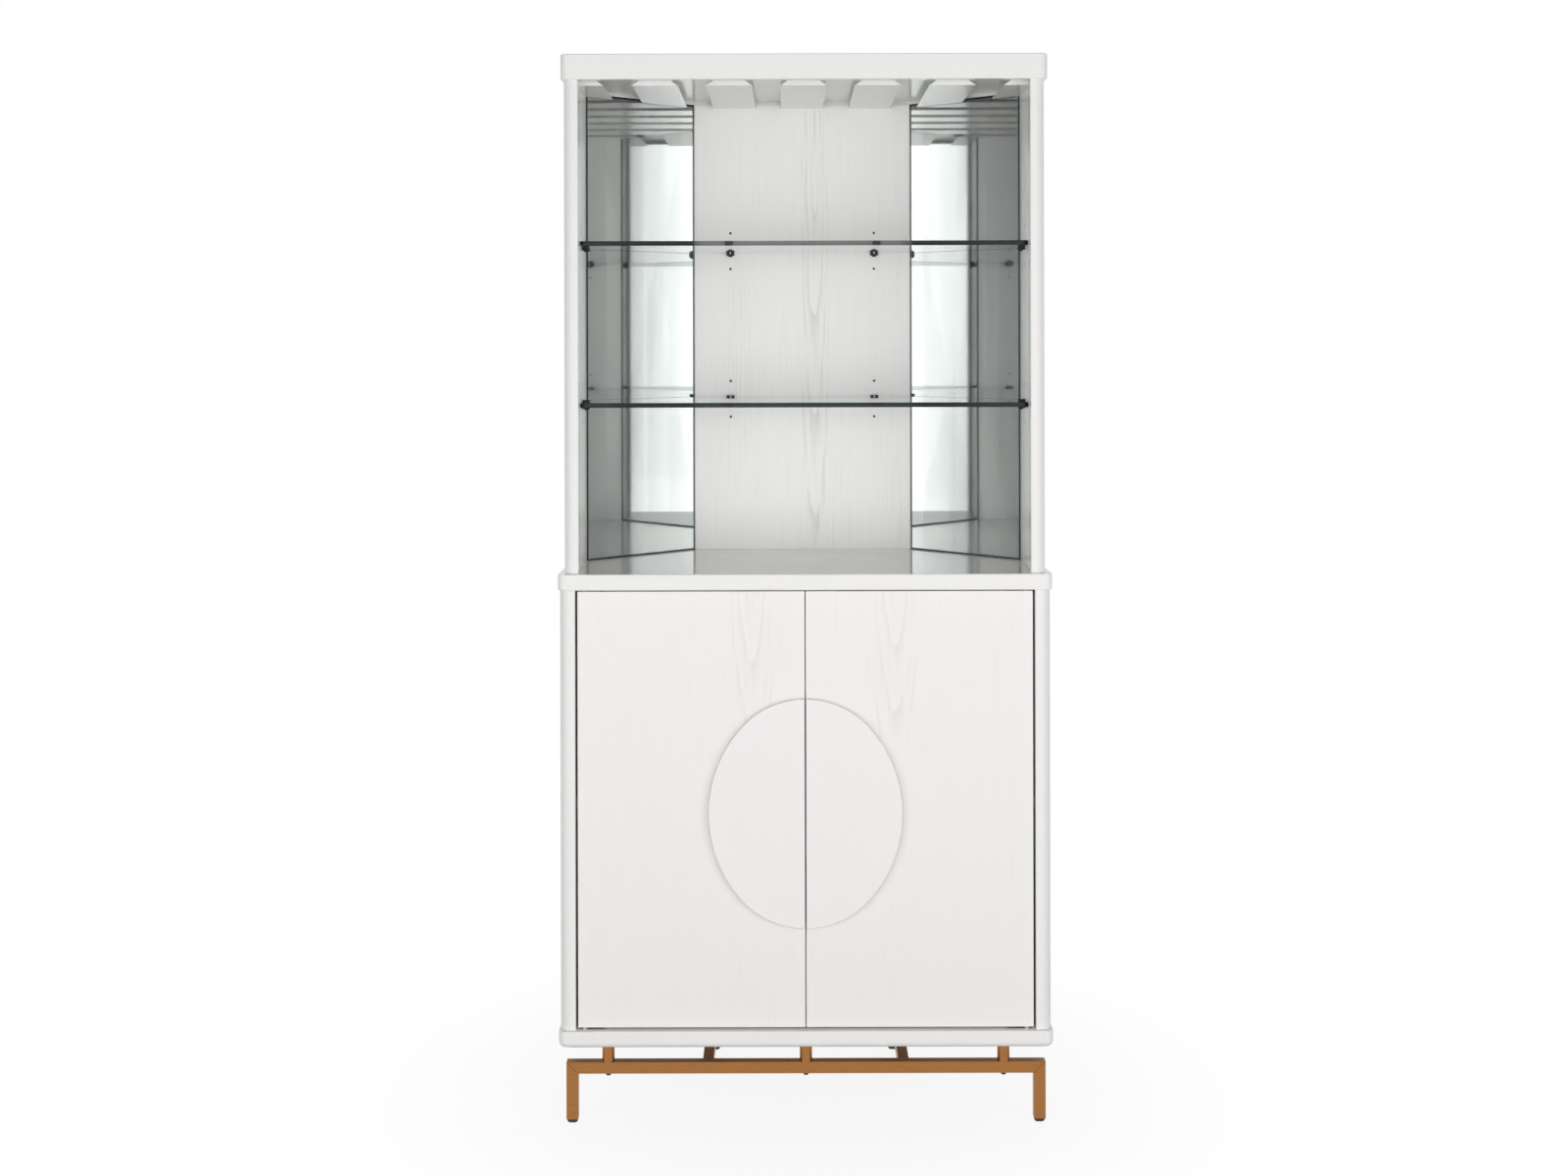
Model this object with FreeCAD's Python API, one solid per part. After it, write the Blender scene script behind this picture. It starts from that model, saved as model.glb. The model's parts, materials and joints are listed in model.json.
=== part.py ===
import FreeCAD, Part
import math
import os
from dataclasses import dataclass

# Corner wine cabinet in two stages on a metal base. In plan it has a straight front, two short sides,
# two rear walls at 45 degrees that fit into a room's corner, and a narrow flat back.
# Lengths are in millimetres. X runs to the right, +Y to the back and +Z up. The origin is on the
# floor, in the middle of the plan. Depths are counted back from the countertop's front edge.

vector = FreeCAD.Vector
root_two = math.sqrt(2)
match_tolerance = 0.01
quarter_turn = 90

# Plan shared by both stages
overall_width = 920.0
interior_depth = 437.0
mirror_side_depth = 229.0
mirror_thickness = 5.0

# Boards under and over the lower stage
board_corner_radius = 15.0
board_edge_chamfer = 1.5
board_overhang = 2.0
bottom_board_low = 150.0
bottom_board_thickness = 31.5
bottom_edge_radius = 12.0
lower_stage_height = 818.5
countertop_thickness = 29.5

# Walls and posts of the lower stage
lower_post_width = 30.0
lower_post_depth = 40.0
lower_post_setback = 10.0
lower_post_radius = 24.0
lower_side_inset = 2.0
lower_side_thickness = 20.0
lower_rear_thickness = 18.0
lower_rear_outset = 6.0

# Walls and posts of the upper stage
upper_inset = 11.0
upper_stage_height = 920.0
upper_post_width = 28.0
upper_post_depth = 38.0
upper_post_setback = 12.0
upper_post_radius = 22.0
upper_side_thickness = 21.5
upper_rear_thickness = 16.0
post_inner_radius = 2.0

# Cornice
cornice_overhang = 5.0
cornice_setback = 8.0
cornice_height = 47.5
cornice_pocket_depth = 7.0
cornice_lip_width = 22.0

# Loose tongues that locate the upper stage on the countertop
tongue_length = 60.0
tongue_thickness = 5.0
tongue_reach = 10.0
tongue_clearance = 0.1

# Doors
door_thickness = 19.5
door_setback = 14.0
door_side_gap = 4.0
door_end_gap = 3.6
door_centre_gap = 2.0
door_edge_chamfer = 0.8

# Half-moon plates on the doors
moon_half_width = 180.0
moon_half_height = 212.6
moon_end_radius = 160.0
moon_drop = 6.3
moon_thickness = 12.0
moon_centre_gap = 3.4
moon_edge_chamfer = 3.0
moon_inner_chamfer = 1.0

# Pivot hinges mortised into the boards and the doors' ends
pivot_from_edge = 12.0
pivot_from_face = 7.0
pivot_radius = 3.0
pivot_clearance = 0.05
pivot_collar_radius = 5.0
pivot_collar_gap = 0.1
pivot_end_gap = 0.3
leaf_length = 45.0
leaf_width = 15.0
leaf_thickness = 2.5
leaf_face_margin = 2.0
leaf_edge_margin = 4.0

# Magnetic catches
catch_length = 40.0
catch_depth = 16.0
catch_height = 14.0
catch_from_middle = 16.0
catch_gap = 0.5
magnet_margin = 3.0
magnet_recess = 1.0
strike_thickness = 1.5
strike_length = 30.0
strike_height = 9.0

# Inside of the lower stage
divider_thickness = 18.0
divider_gap = 2.0
cabinet_shelf_thickness = 18.0
cabinet_shelf_rise = 402.5
cabinet_shelf_gap = 1.0
cabinet_pin_radius = 2.5
cabinet_pin_reach = 9.0
cabinet_pin_hole_depth = 7.0
cabinet_pin_clearance = 0.05
cabinet_pin_from_front = 39.0
cabinet_pin_from_wall = 28.0
cabinet_pin_from_back = 47.0

# Glass shelves
glass_thickness = 9.0
glass_setback = 71.0
glass_side_gap = 2.0
glass_mirror_gap = 2.5
glass_back_gap = 3.0
glass_corner_radius = 3.0
glass_rises = {"lower": 307.0, "upper": 613.0}

# Shelf clips
clip_from_mirror = 71.0
clip_width = 16.0
clip_projection = 14.0
clip_plate_thickness = 1.8
clip_lower_jaw = 5.3
clip_upper_jaw = 3.0
clip_slack = 0.2
clip_corner_chamfer = 3.5
clip_pin_radius = 2.5
clip_pin_length = 10.0
clip_pin_clearance = 0.05
clip_hole_depth = 12.0
clip_hole_spacing = 37.0

# Stemware rack
slat_end_inset = 7.5
slat_bottom_width = 88.0
slat_top_width = 48.0
slat_height = 14.0
slat_steps = {
    "left_end": -3,
    "left_outer": -2,
    "left_inner": -1,
    "middle": 0,
    "right_inner": 1,
    "right_outer": 2,
    "right_end": 3,
}

# Metal base
tube_height = 22.0
tube_width = 20.0
tube_wall = 1.5
tube_low = 93.0
leg_inset = 12.0
base_setback = 30.0
rail_inset = 56.5
rear_leg_inset = 25.0
standoff_radius = 11.5
standoff_lap = 9.0
standoff_from_leg = 56.0
rear_standoff_inset = 40.0
bolt_radius = 3.0
bolt_clearance = 0.25
bolt_reach = 14.0
bolt_head_radius = 6.0
bolt_head_height = 3.0
glide_height = 7.5
glide_inset = 0.5
glide_corner_chamfer = 3.5
glide_chamfer = 3.0
glide_plug_height = 14.0
glide_plug_gap = 0.2

# Worked out from the values above
board_half = overall_width / 2
lower_outer = board_half - board_overhang
lower_inner = lower_outer - lower_post_width
upper_outer = board_half - upper_inset
upper_side_inner = upper_outer - upper_side_thickness
upper_inner = upper_outer - upper_post_width
face_sum = upper_side_inner + mirror_side_depth
panel_sum = face_sum + mirror_thickness * root_two
upper_shell_sum = panel_sum + upper_rear_thickness * root_two
lower_shell_sum = upper_shell_sum + lower_rear_outset * root_two
lower_face_sum = lower_shell_sum - lower_rear_thickness * root_two
lower_back = interior_depth + lower_rear_thickness
upper_back = interior_depth + upper_rear_thickness
overall_depth = lower_back + board_overhang
lower_low = bottom_board_low + bottom_board_thickness
lower_high = lower_low + lower_stage_height
upper_low = lower_high + countertop_thickness
upper_high = upper_low + upper_stage_height
ceiling = upper_high + cornice_pocket_depth
door_low = lower_low + door_end_gap
door_high = lower_high - door_end_gap
door_outer = lower_inner - door_side_gap
door_back = door_setback + door_thickness
pivot_x = door_outer - pivot_from_edge
pivot_depth = door_setback + pivot_from_face
divider_front = door_back + divider_gap
cabinet_shelf_low = lower_low + cabinet_shelf_rise
tube_high = tube_low + tube_height
leg_outer = board_half - leg_inset
leg_inner = leg_outer - tube_height
rear_leg_back = lower_back - rear_leg_inset
rear_leg_front = rear_leg_back - tube_width
clip_back_offset = face_sum - interior_depth - clip_from_mirror
clip_side_depth = mirror_side_depth - clip_from_mirror
lower_side_inner = lower_outer - lower_side_inset - lower_side_thickness
cabinet_shelf_setback = lower_post_setback + lower_post_depth + cabinet_shelf_gap
cabinet_pin_front_depth = cabinet_shelf_setback + cabinet_pin_from_front
cabinet_pin_side_depth = lower_face_sum - lower_side_inner - cabinet_pin_from_wall
cabinet_pin_rear_depth = interior_depth - cabinet_pin_from_back
slat_setback = upper_post_setback + upper_post_depth
slat_pitch = (upper_side_inner - slat_end_inset) / max(slat_steps.values())
rail_offset = lower_shell_sum - lower_back - rail_inset
standoff_offset = leg_inner - standoff_from_leg


@dataclass(frozen=True)
class Stage:
    """Plan and height of one stage's walls, for the right-hand half."""

    low: float
    high: float
    outer: float
    inner: float
    wall_sum: float
    shell_sum: float
    back: float
    post_inner: float
    post_outer: float
    post_front: float
    post_depth: float
    post_radius: float


lower = Stage(
    low=lower_low,
    high=lower_high,
    outer=lower_outer - lower_side_inset,
    inner=lower_side_inner,
    wall_sum=lower_face_sum,
    shell_sum=lower_shell_sum,
    back=lower_back,
    post_inner=lower_inner,
    post_outer=lower_outer,
    post_front=lower_post_setback,
    post_depth=lower_post_depth,
    post_radius=lower_post_radius,
)
upper = Stage(
    low=upper_low,
    high=upper_high,
    outer=upper_outer,
    inner=upper_side_inner,
    wall_sum=panel_sum,
    shell_sum=upper_shell_sum,
    back=upper_back,
    post_inner=upper_inner,
    post_outer=upper_outer,
    post_front=upper_post_setback,
    post_depth=upper_post_depth,
    post_radius=upper_post_radius,
)


def at_depth(depth):
    """Y of a depth behind the countertop's front edge."""
    return depth - overall_depth / 2


def prism(outline, low, high):
    """Upright prism over an outline of (x, depth) points."""
    points = [vector(x, at_depth(depth), low) for x, depth in outline]
    face = Part.Face(Part.makePolygon(points + points[:1]))
    return face.extrude(vector(0, 0, high - low))


def block(x_low, x_high, depth_low, depth_high, low, high):
    """Upright block between two values of x, of depth and of height."""
    corner = vector(x_low, at_depth(depth_low), low)
    return Part.makeBox(x_high - x_low, depth_high - depth_low, high - low, corner)


def rod(radius, x, depth, low, high):
    """Upright round bar."""
    return Part.makeCylinder(radius, high - low, vector(x, at_depth(depth), low))


def level_rod(radius, length, x, depth, height, direction):
    """Level round bar that starts at a point and runs along a direction."""
    return Part.makeCylinder(radius, length, vector(x, at_depth(depth), height), direction)


def mirrored(shape):
    """The same shape on the other side of the middle plane."""
    return shape.mirror(vector(0, 0, 0), vector(1, 0, 0))


def upright_edges(shape, test):
    """Upright edges whose (x, y) passes a test."""
    found = []
    for edge in shape.Edges:
        box = edge.BoundBox
        if max(box.XLength, box.YLength) < match_tolerance and test(box.Center.x, box.Center.y):
            found.append(edge)
    return found


def level_edges(shape, height):
    """Edges that lie at one height."""
    found = []
    for edge in shape.Edges:
        box = edge.BoundBox
        if box.ZLength < match_tolerance and abs(box.ZMin - height) < match_tolerance:
            found.append(edge)
    return found


def front_edges(shape, depth, curved):
    """Edges that lie in a front face: those that run sideways, or only the upright ones."""
    limit = at_depth(depth) + match_tolerance
    in_face = [edge for edge in shape.Edges if edge.BoundBox.YMax < limit]
    return [edge for edge in in_face if (edge.BoundBox.XLength > match_tolerance) == curved]


def save(name, *solids):
    """Writes one node, as one solid or a group of separate solids."""
    shape = solids[0] if len(solids) == 1 else Part.makeCompound(list(solids))
    shape.exportStep(f"parts/{name}.step")


def save_pair(name, shape):
    """Writes a right-hand piece and its left-hand twin."""
    save(f"{name}_right", shape)
    save(f"{name}_left", mirrored(shape))


# Boards over the whole plan
def plan_board(half, front, plane_sum, low, high):
    """Board with rounded front corners and an eased upper edge, cut to the corner plan."""
    rear_half = plane_sum - overall_depth
    outline = [
        (-half, front),
        (half, front),
        (half, plane_sum - half),
        (rear_half, overall_depth),
        (-rear_half, overall_depth),
        (-half, plane_sum - half),
    ]
    board = prism(outline, low, high)
    front_y = at_depth(front) + match_tolerance
    board = board.makeFillet(board_corner_radius, upright_edges(board, lambda x, y: y < front_y))
    return board.makeChamfer(board_edge_chamfer, level_edges(board, high))


def make_countertop():
    """Countertop with mortises for the upper hinge leaves and slots for the tongues."""
    plane_sum = lower_shell_sum + board_overhang * root_two
    board = plan_board(board_half, 0, plane_sum, lower_high, upper_low)
    board = board.makeChamfer(board_edge_chamfer, level_edges(board, lower_high))
    mortise = leaf_blank(lower_high)
    return cut_tongue_slots(board.cut(mortise).cut(mirrored(mortise)))


def make_bottom_board():
    """Bottom board with a rounded lower edge, mortises for the lower hinge leaves and bolt holes."""
    plane_sum = lower_shell_sum + board_overhang * root_two
    board = plan_board(board_half, 0, plane_sum, bottom_board_low, lower_low)
    board = board.makeFillet(bottom_edge_radius, level_edges(board, bottom_board_low))
    mortise = leaf_blank(lower_low - leaf_thickness)
    board = board.cut(mortise).cut(mirrored(mortise))
    for x, depth in standoff_places():
        bore = rod(bolt_radius + bolt_clearance, x, depth, bottom_board_low, bottom_board_low + bolt_reach)
        board = board.cut(bore)
    return board


def make_cornice():
    """Thick top board whose underside has a shallow pocket for the stemware rack."""
    half = upper_outer + cornice_overhang
    plane_sum = upper_shell_sum + cornice_overhang * root_two
    high = upper_high + cornice_height
    board = plan_board(half, cornice_setback, plane_sum, upper_high, high)
    board = board.makeChamfer(board_edge_chamfer, level_edges(board, upper_high))
    front = cornice_setback + cornice_lip_width
    return board.cut(room(front, upper_side_inner, face_sum, interior_depth, upper_high, ceiling))


# Walls
def room(front, side, plane_sum, rear, low, high):
    """Space over the corner plan inside two sides, two 45-degree planes and a back."""
    outline = [
        (-side, front),
        (side, front),
        (side, plane_sum - side),
        (plane_sum - rear, rear),
        (rear - plane_sum, rear),
        (-side, plane_sum - side),
    ]
    return prism(outline, low, high)


def make_post(stage):
    """Right-hand front post with a large round on its outer corner."""
    front = stage.post_front
    post = block(stage.post_inner, stage.post_outer, front, front + stage.post_depth, stage.low, stage.high)
    front_y = at_depth(front) + match_tolerance
    outer = upright_edges(post, lambda x, y: y < front_y and x > stage.post_inner + match_tolerance)
    post = post.makeFillet(stage.post_radius, outer)
    inner = upright_edges(post, lambda x, y: y < front_y and x < stage.post_inner + match_tolerance)
    return post.makeFillet(post_inner_radius, inner)


def make_side_panel(stage):
    """Right-hand side panel, mitred where it meets the rear wall."""
    front = stage.post_front + stage.post_depth
    outline = [
        (stage.inner, front),
        (stage.outer, front),
        (stage.outer, stage.shell_sum - stage.outer),
        (stage.inner, stage.wall_sum - stage.inner),
    ]
    return prism(outline, stage.low, stage.high)


def make_rear_wall(stage):
    """Right-hand rear wall at 45 degrees, mitred at both ends."""
    outline = [
        (stage.inner, stage.wall_sum - stage.inner),
        (stage.outer, stage.shell_sum - stage.outer),
        (stage.shell_sum - stage.back, stage.back),
        (stage.wall_sum - interior_depth, interior_depth),
    ]
    return prism(outline, stage.low, stage.high)


def make_back_panel(stage):
    """Narrow flat back between the two rear walls."""
    front_half = stage.wall_sum - interior_depth
    back_half = stage.shell_sum - stage.back
    outline = [
        (-front_half, interior_depth),
        (-back_half, stage.back),
        (back_half, stage.back),
        (front_half, interior_depth),
    ]
    return prism(outline, stage.low, stage.high)


def make_mirror():
    """Right-hand mirror, a square-cut sheet on the face of the rear wall."""
    step = mirror_thickness / root_two
    side_depth = panel_sum - upper_side_inner
    rear_x = panel_sum - interior_depth
    outline = [
        (upper_side_inner, side_depth),
        (rear_x, interior_depth),
        (rear_x - step, interior_depth - step),
        (upper_side_inner - step, side_depth - step),
    ]
    return prism(outline, upper_low, upper_high)


# Loose tongues
def tongue_slots(gap):
    """Tongues grown by a gap all round: one in each side panel and one in the back panel."""
    low, high = upper_low - tongue_reach - gap, upper_low + tongue_reach + gap
    thick, long = tongue_thickness / 2 + gap, tongue_length / 2 + gap
    side_x = upper_outer - upper_side_thickness / 2
    side_depth = (upper_post_setback + upper_post_depth + mirror_side_depth) / 2
    back_depth = interior_depth + upper_rear_thickness / 2
    side = block(side_x - thick, side_x + thick, side_depth - long, side_depth + long, low, high)
    back = block(-long, long, back_depth - thick, back_depth + thick, low, high)
    return [side, mirrored(side), back]


def cut_tongue_slots(piece):
    """Cuts the slots for the tongues into a wall's lower end or the countertop."""
    for slot in tongue_slots(tongue_clearance):
        piece = piece.cut(slot)
    return piece


# Glass shelves and their clips
def glass_low(level):
    """Height of the underside of one glass shelf."""
    return upper_low + glass_rises[level]


def make_glass_shelf(level):
    """Glass shelf that follows the inside of the upper stage."""
    low = glass_low(level)
    side = upper_side_inner - glass_side_gap
    plane_sum = face_sum - glass_mirror_gap * root_two
    rear = interior_depth - glass_back_gap
    shelf = room(glass_setback, side, plane_sum, rear, low, low + glass_thickness)
    front_y = at_depth(glass_setback) + match_tolerance
    return shelf.makeFillet(glass_corner_radius, upright_edges(shelf, lambda x, y: y < front_y))


def clip_hole_heights():
    """Heights of the pin holes, three in each column for each glass shelf."""
    middles = [glass_low(level) + glass_thickness / 2 for level in glass_rises]
    return [middle + step * clip_hole_spacing for middle in middles for step in (-1, 0, 1)]


def make_upper_side_panel():
    """Right-hand side panel of the upper stage with its pin holes and tongue slot."""
    panel = make_side_panel(upper)
    radius = clip_pin_radius + clip_pin_clearance
    for height in clip_hole_heights():
        hole = level_rod(radius, clip_hole_depth, upper_side_inner, clip_side_depth, height, vector(1, 0, 0))
        panel = panel.cut(hole)
    return cut_tongue_slots(panel)


def make_upper_back_panel():
    """Back panel of the upper stage with two columns of pin holes."""
    panel = make_back_panel(upper)
    radius = clip_pin_radius + clip_pin_clearance
    for height in clip_hole_heights():
        for way in (-1, 1):
            x = way * clip_back_offset
            panel = panel.cut(level_rod(radius, clip_hole_depth, x, interior_depth, height, vector(0, 1, 0)))
    return cut_tongue_slots(panel)


def clip_blank(middle):
    """Shelf clip at x = 0 with the wall behind it at y = 0: two jaws, a thin plate and a pin."""
    under = middle - glass_thickness / 2
    over = middle + glass_thickness / 2 + clip_slack
    low = under - clip_lower_jaw
    body = Part.makeBox(
        clip_width, clip_projection, over + clip_upper_jaw - low,
        vector(-clip_width / 2, -clip_projection, low),
    )
    nose = upright_edges(body, lambda x, y: y < match_tolerance - clip_projection)
    body = body.makeChamfer(clip_corner_chamfer, nose)
    slot = Part.makeBox(
        clip_width, clip_projection - clip_plate_thickness, over - under,
        vector(-clip_width / 2, -clip_projection, under),
    )
    pin = Part.makeCylinder(clip_pin_radius, clip_pin_length, vector(0, 0, middle), vector(0, 1, 0))
    return body.cut(slot).fuse(pin)


def make_clips(level):
    """Four clips of one glass shelf: two on the back panel and one on each side panel."""
    middle = glass_low(level) + glass_thickness / 2
    clips = []
    for way in (-1, 1):
        back_clip = clip_blank(middle)
        back_clip.translate(vector(way * clip_back_offset, at_depth(interior_depth), 0))
        side_clip = clip_blank(middle)
        side_clip.rotate(vector(0, 0, 0), vector(0, 0, 1), -way * quarter_turn)
        side_clip.translate(vector(way * upper_side_inner, at_depth(clip_side_depth), 0))
        clips += [back_clip, side_clip]
    return clips


# Stemware rack
def make_slat(x):
    """Dovetail slat, wider below, that runs back until it meets a side, a mirror or the back."""
    low = ceiling - slat_height
    y = at_depth(slat_setback)
    corners = [
        vector(x - slat_top_width / 2, y, ceiling),
        vector(x + slat_top_width / 2, y, ceiling),
        vector(x + slat_bottom_width / 2, y, low),
        vector(x - slat_bottom_width / 2, y, low),
    ]
    end_face = Part.Face(Part.makePolygon(corners + corners[:1]))
    bar = end_face.extrude(vector(0, interior_depth - slat_setback, 0))
    return bar.common(room(slat_setback, upper_side_inner, face_sum, interior_depth, low, ceiling))


# Doors
def leaf_blank(low):
    """Right-hand hinge leaf without pin or hole, which is also the mortise it sits in."""
    outer = door_outer - leaf_edge_margin
    front = door_setback + leaf_face_margin
    return block(outer - leaf_length, outer, front, front + leaf_width, low, low + leaf_thickness)


def make_door():
    """Right-hand door with mortises for its hinge leaves."""
    door = block(door_centre_gap / 2, door_outer, door_setback, door_back, door_low, door_high)
    door = door.makeChamfer(door_edge_chamfer, door.Edges)
    return door.cut(leaf_blank(door_low)).cut(leaf_blank(door_high - leaf_thickness))


def door_leaf(low):
    """Leaf let into the door's end, with the running hole for the pivot."""
    hole = rod(pivot_radius + pivot_clearance, pivot_x, pivot_depth, low, low + leaf_thickness)
    return leaf_blank(low).cut(hole)


def make_door_leaves():
    """Lower and upper leaf of the right-hand door."""
    return door_leaf(door_low), door_leaf(door_high - leaf_thickness)


def make_frame_leaves():
    """Leaves in the boards, whose pivots end short of the mortise; the lower collar bears the door."""
    lower_leaf = leaf_blank(lower_low - leaf_thickness)
    collar_high = door_low - pivot_collar_gap
    collar = rod(pivot_collar_radius, pivot_x, pivot_depth, lower_low, collar_high)
    pin_reach = leaf_thickness - pivot_end_gap
    lower_pin = rod(pivot_radius, pivot_x, pivot_depth, lower_low, door_low + pin_reach)
    lower_leaf = lower_leaf.fuse([collar, lower_pin])
    upper_leaf = leaf_blank(lower_high)
    upper_pin = rod(pivot_radius, pivot_x, pivot_depth, door_high - pin_reach, lower_high)
    return lower_leaf, upper_leaf.fuse(upper_pin)


def moon_outline(middle):
    """Closed right half of an oval whose side and end arcs run into each other without a corner."""
    y = at_depth(door_setback)
    wide, tall, end_radius = moon_half_width, moon_half_height, moon_end_radius
    side_radius = (wide ** 2 + tall ** 2 - 2 * tall * end_radius) / (2 * (wide - end_radius))
    side_x, end_z = wide - side_radius, tall - end_radius
    slope = math.atan2(end_z, -side_x)
    join_x = side_x + side_radius * math.cos(slope)
    join_z = side_radius * math.sin(slope)
    middle_angle = (slope + math.pi / 2) / 2
    end_x, end_rise = end_radius * math.cos(middle_angle), end_z + end_radius * math.sin(middle_angle)
    points = {
        "top": vector(0, y, middle + tall),
        "top_arc": vector(end_x, y, middle + end_rise),
        "upper_join": vector(join_x, y, middle + join_z),
        "side": vector(wide, y, middle),
        "lower_join": vector(join_x, y, middle - join_z),
        "bottom_arc": vector(end_x, y, middle - end_rise),
        "bottom": vector(0, y, middle - tall),
    }
    arcs = [("top", "top_arc", "upper_join"), ("upper_join", "side", "lower_join")]
    arcs.append(("lower_join", "bottom_arc", "bottom"))
    edges = [Part.Arc(*[points[name] for name in arc]).toShape() for arc in arcs]
    return Part.Wire(edges + [Part.makeLine(points["bottom"], points["top"])])


def make_half_moon():
    """Right-hand half of the raised oval, which a hand opens the door by."""
    middle = (door_low + door_high) / 2 - moon_drop
    front = door_setback - moon_thickness
    plate = Part.Face(moon_outline(middle)).extrude(vector(0, -moon_thickness, 0))
    plate = plate.cut(block(
        -moon_centre_gap / 2, moon_centre_gap / 2, front, door_setback,
        middle - moon_half_height, middle + moon_half_height,
    ))
    plate = plate.makeChamfer(moon_edge_chamfer, front_edges(plate, front, curved=True))
    return plate.makeChamfer(moon_inner_chamfer, front_edges(plate, front, curved=False))


def make_catch():
    """Right-hand magnetic catch under the countertop, its magnet set back in the case."""
    low = lower_high - catch_height
    inner = catch_from_middle
    front = door_back + strike_thickness + catch_gap
    case = block(inner, inner + catch_length, front, front + catch_depth, low, lower_high)
    recess = block(
        inner + magnet_margin, inner + catch_length - magnet_margin, front, front + magnet_recess,
        low + magnet_margin, lower_high - magnet_margin,
    )
    return case.cut(recess)


def make_strike():
    """Steel plate on the back of the right-hand door, facing the magnet."""
    middle_x = catch_from_middle + catch_length / 2
    middle = lower_high - catch_height / 2
    return block(
        middle_x - strike_length / 2, middle_x + strike_length / 2, door_back, door_back + strike_thickness,
        middle - strike_height / 2, middle + strike_height / 2,
    )


# Inside of the lower stage
def cabinet_pin_height():
    """Height of the pins' axis, so that the shelf lies on them."""
    return cabinet_shelf_low - cabinet_pin_radius


def cut_cabinet_pin_holes(panel, x, depths, way):
    """Cuts a row of pin holes from a face at x, away from the pins' own way."""
    radius = cabinet_pin_radius + cabinet_pin_clearance
    for depth in depths:
        direction = vector(-way, 0, 0)
        hole = level_rod(radius, cabinet_pin_hole_depth, x, depth, cabinet_pin_height(), direction)
        panel = panel.cut(hole)
    return panel


def make_lower_side_panel():
    """Right-hand side panel of the lower stage with its pin holes."""
    depths = (cabinet_pin_front_depth, cabinet_pin_side_depth)
    return cut_cabinet_pin_holes(make_side_panel(lower), lower.inner, depths, -1)


def make_divider():
    """Upright divider behind the doors' meeting line, with pin holes on both faces."""
    half = divider_thickness / 2
    panel = block(-half, half, divider_front, interior_depth, lower_low, lower_high)
    depths = (cabinet_pin_front_depth, cabinet_pin_rear_depth)
    for way in (-1, 1):
        panel = cut_cabinet_pin_holes(panel, way * half, depths, way)
    return panel


def make_cabinet_shelf():
    """Right-hand wooden shelf, cut to the plan of its compartment."""
    high = cabinet_shelf_low + cabinet_shelf_thickness
    outer = lower.inner - cabinet_shelf_gap
    plane_sum = lower_face_sum - cabinet_shelf_gap * root_two
    rear = interior_depth - cabinet_shelf_gap
    shelf = room(cabinet_shelf_setback, outer, plane_sum, rear, cabinet_shelf_low, high)
    inner = divider_thickness / 2 + cabinet_shelf_gap
    return shelf.common(block(inner, outer, cabinet_shelf_setback, rear, cabinet_shelf_low, high))


def make_cabinet_pins():
    """Four pins under the right-hand shelf and four under the left-hand one."""
    middle = cabinet_pin_height()
    length = cabinet_pin_hole_depth + cabinet_pin_reach
    pins = []
    for depth in (cabinet_pin_front_depth, cabinet_pin_rear_depth):
        start = divider_thickness / 2 - cabinet_pin_hole_depth
        pins.append(level_rod(cabinet_pin_radius, length, start, depth, middle, vector(1, 0, 0)))
    for depth in (cabinet_pin_front_depth, cabinet_pin_side_depth):
        start = lower.inner + cabinet_pin_hole_depth
        pins.append(level_rod(cabinet_pin_radius, length, start, depth, middle, vector(-1, 0, 0)))
    return pins + [mirrored(pin) for pin in pins]


# Metal base
def tube(x_low, x_high, depth_low, depth_high, low, high, along):
    """Rectangular tube with open ends; it runs along 0 for x, 1 for depth or 2 for height."""
    walls = [0 if axis == along else tube_wall for axis in range(3)]
    outer = block(x_low, x_high, depth_low, depth_high, low, high)
    hollow = block(
        x_low + walls[0], x_high - walls[0], depth_low + walls[1], depth_high - walls[1],
        low + walls[2], high - walls[2],
    )
    return outer.cut(hollow)


def mitre_wedge():
    """Everything on the right-hand leg's side of the mitre between the leg and the front bar."""
    y = at_depth(base_setback)
    corners = [
        vector(leg_outer, y, tube_high),
        vector(leg_outer, y, 0),
        vector(leg_inner, y, 0),
        vector(leg_inner, y, tube_low),
    ]
    return Part.Face(Part.makePolygon(corners + corners[:1])).extrude(vector(0, tube_width, 0))


def front_standoff_places():
    """Standoffs on the front bar."""
    depth = base_setback + tube_width / 2
    return [(way * standoff_offset, depth) for way in (-1, 0, 1)]


def rear_standoff_places():
    """Standoffs on the two rails."""
    depth = rear_leg_front - rear_standoff_inset
    return [(way * rail_offset, depth) for way in (-1, 1)]


def standoff_places():
    """All five standoffs."""
    return front_standoff_places() + rear_standoff_places()


def bolt_bore(x, depth, low, high):
    """Clearance bore for a base bolt."""
    return rod(bolt_radius + bolt_clearance, x, depth, low, high)


def make_front_bar():
    """Front bar of the base, mitred into the legs and drilled for three bolts."""
    base_back = base_setback + tube_width
    bar = tube(-leg_outer, leg_outer, base_setback, base_back, tube_low, tube_high, 0)
    bar = bar.cut(mitre_wedge()).cut(mirrored(mitre_wedge()))
    for x, depth in front_standoff_places():
        bar = bar.cut(bolt_bore(x, depth, tube_low, tube_high))
    return bar


def make_front_leg():
    """Right-hand front leg, mitred at its top."""
    base_back = base_setback + tube_width
    leg = tube(leg_inner, leg_outer, base_setback, base_back, glide_height, tube_high, 2)
    return leg.common(mitre_wedge())


def make_rail():
    """Right-hand rail from the front bar to the rear leg."""
    half = tube_width / 2
    start = base_setback + tube_width
    rail = tube(rail_offset - half, rail_offset + half, start, rear_leg_front, tube_low, tube_high, 1)
    for x, depth in rear_standoff_places():
        rail = rail.cut(bolt_bore(x, depth, tube_low, tube_high))
    return rail


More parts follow.
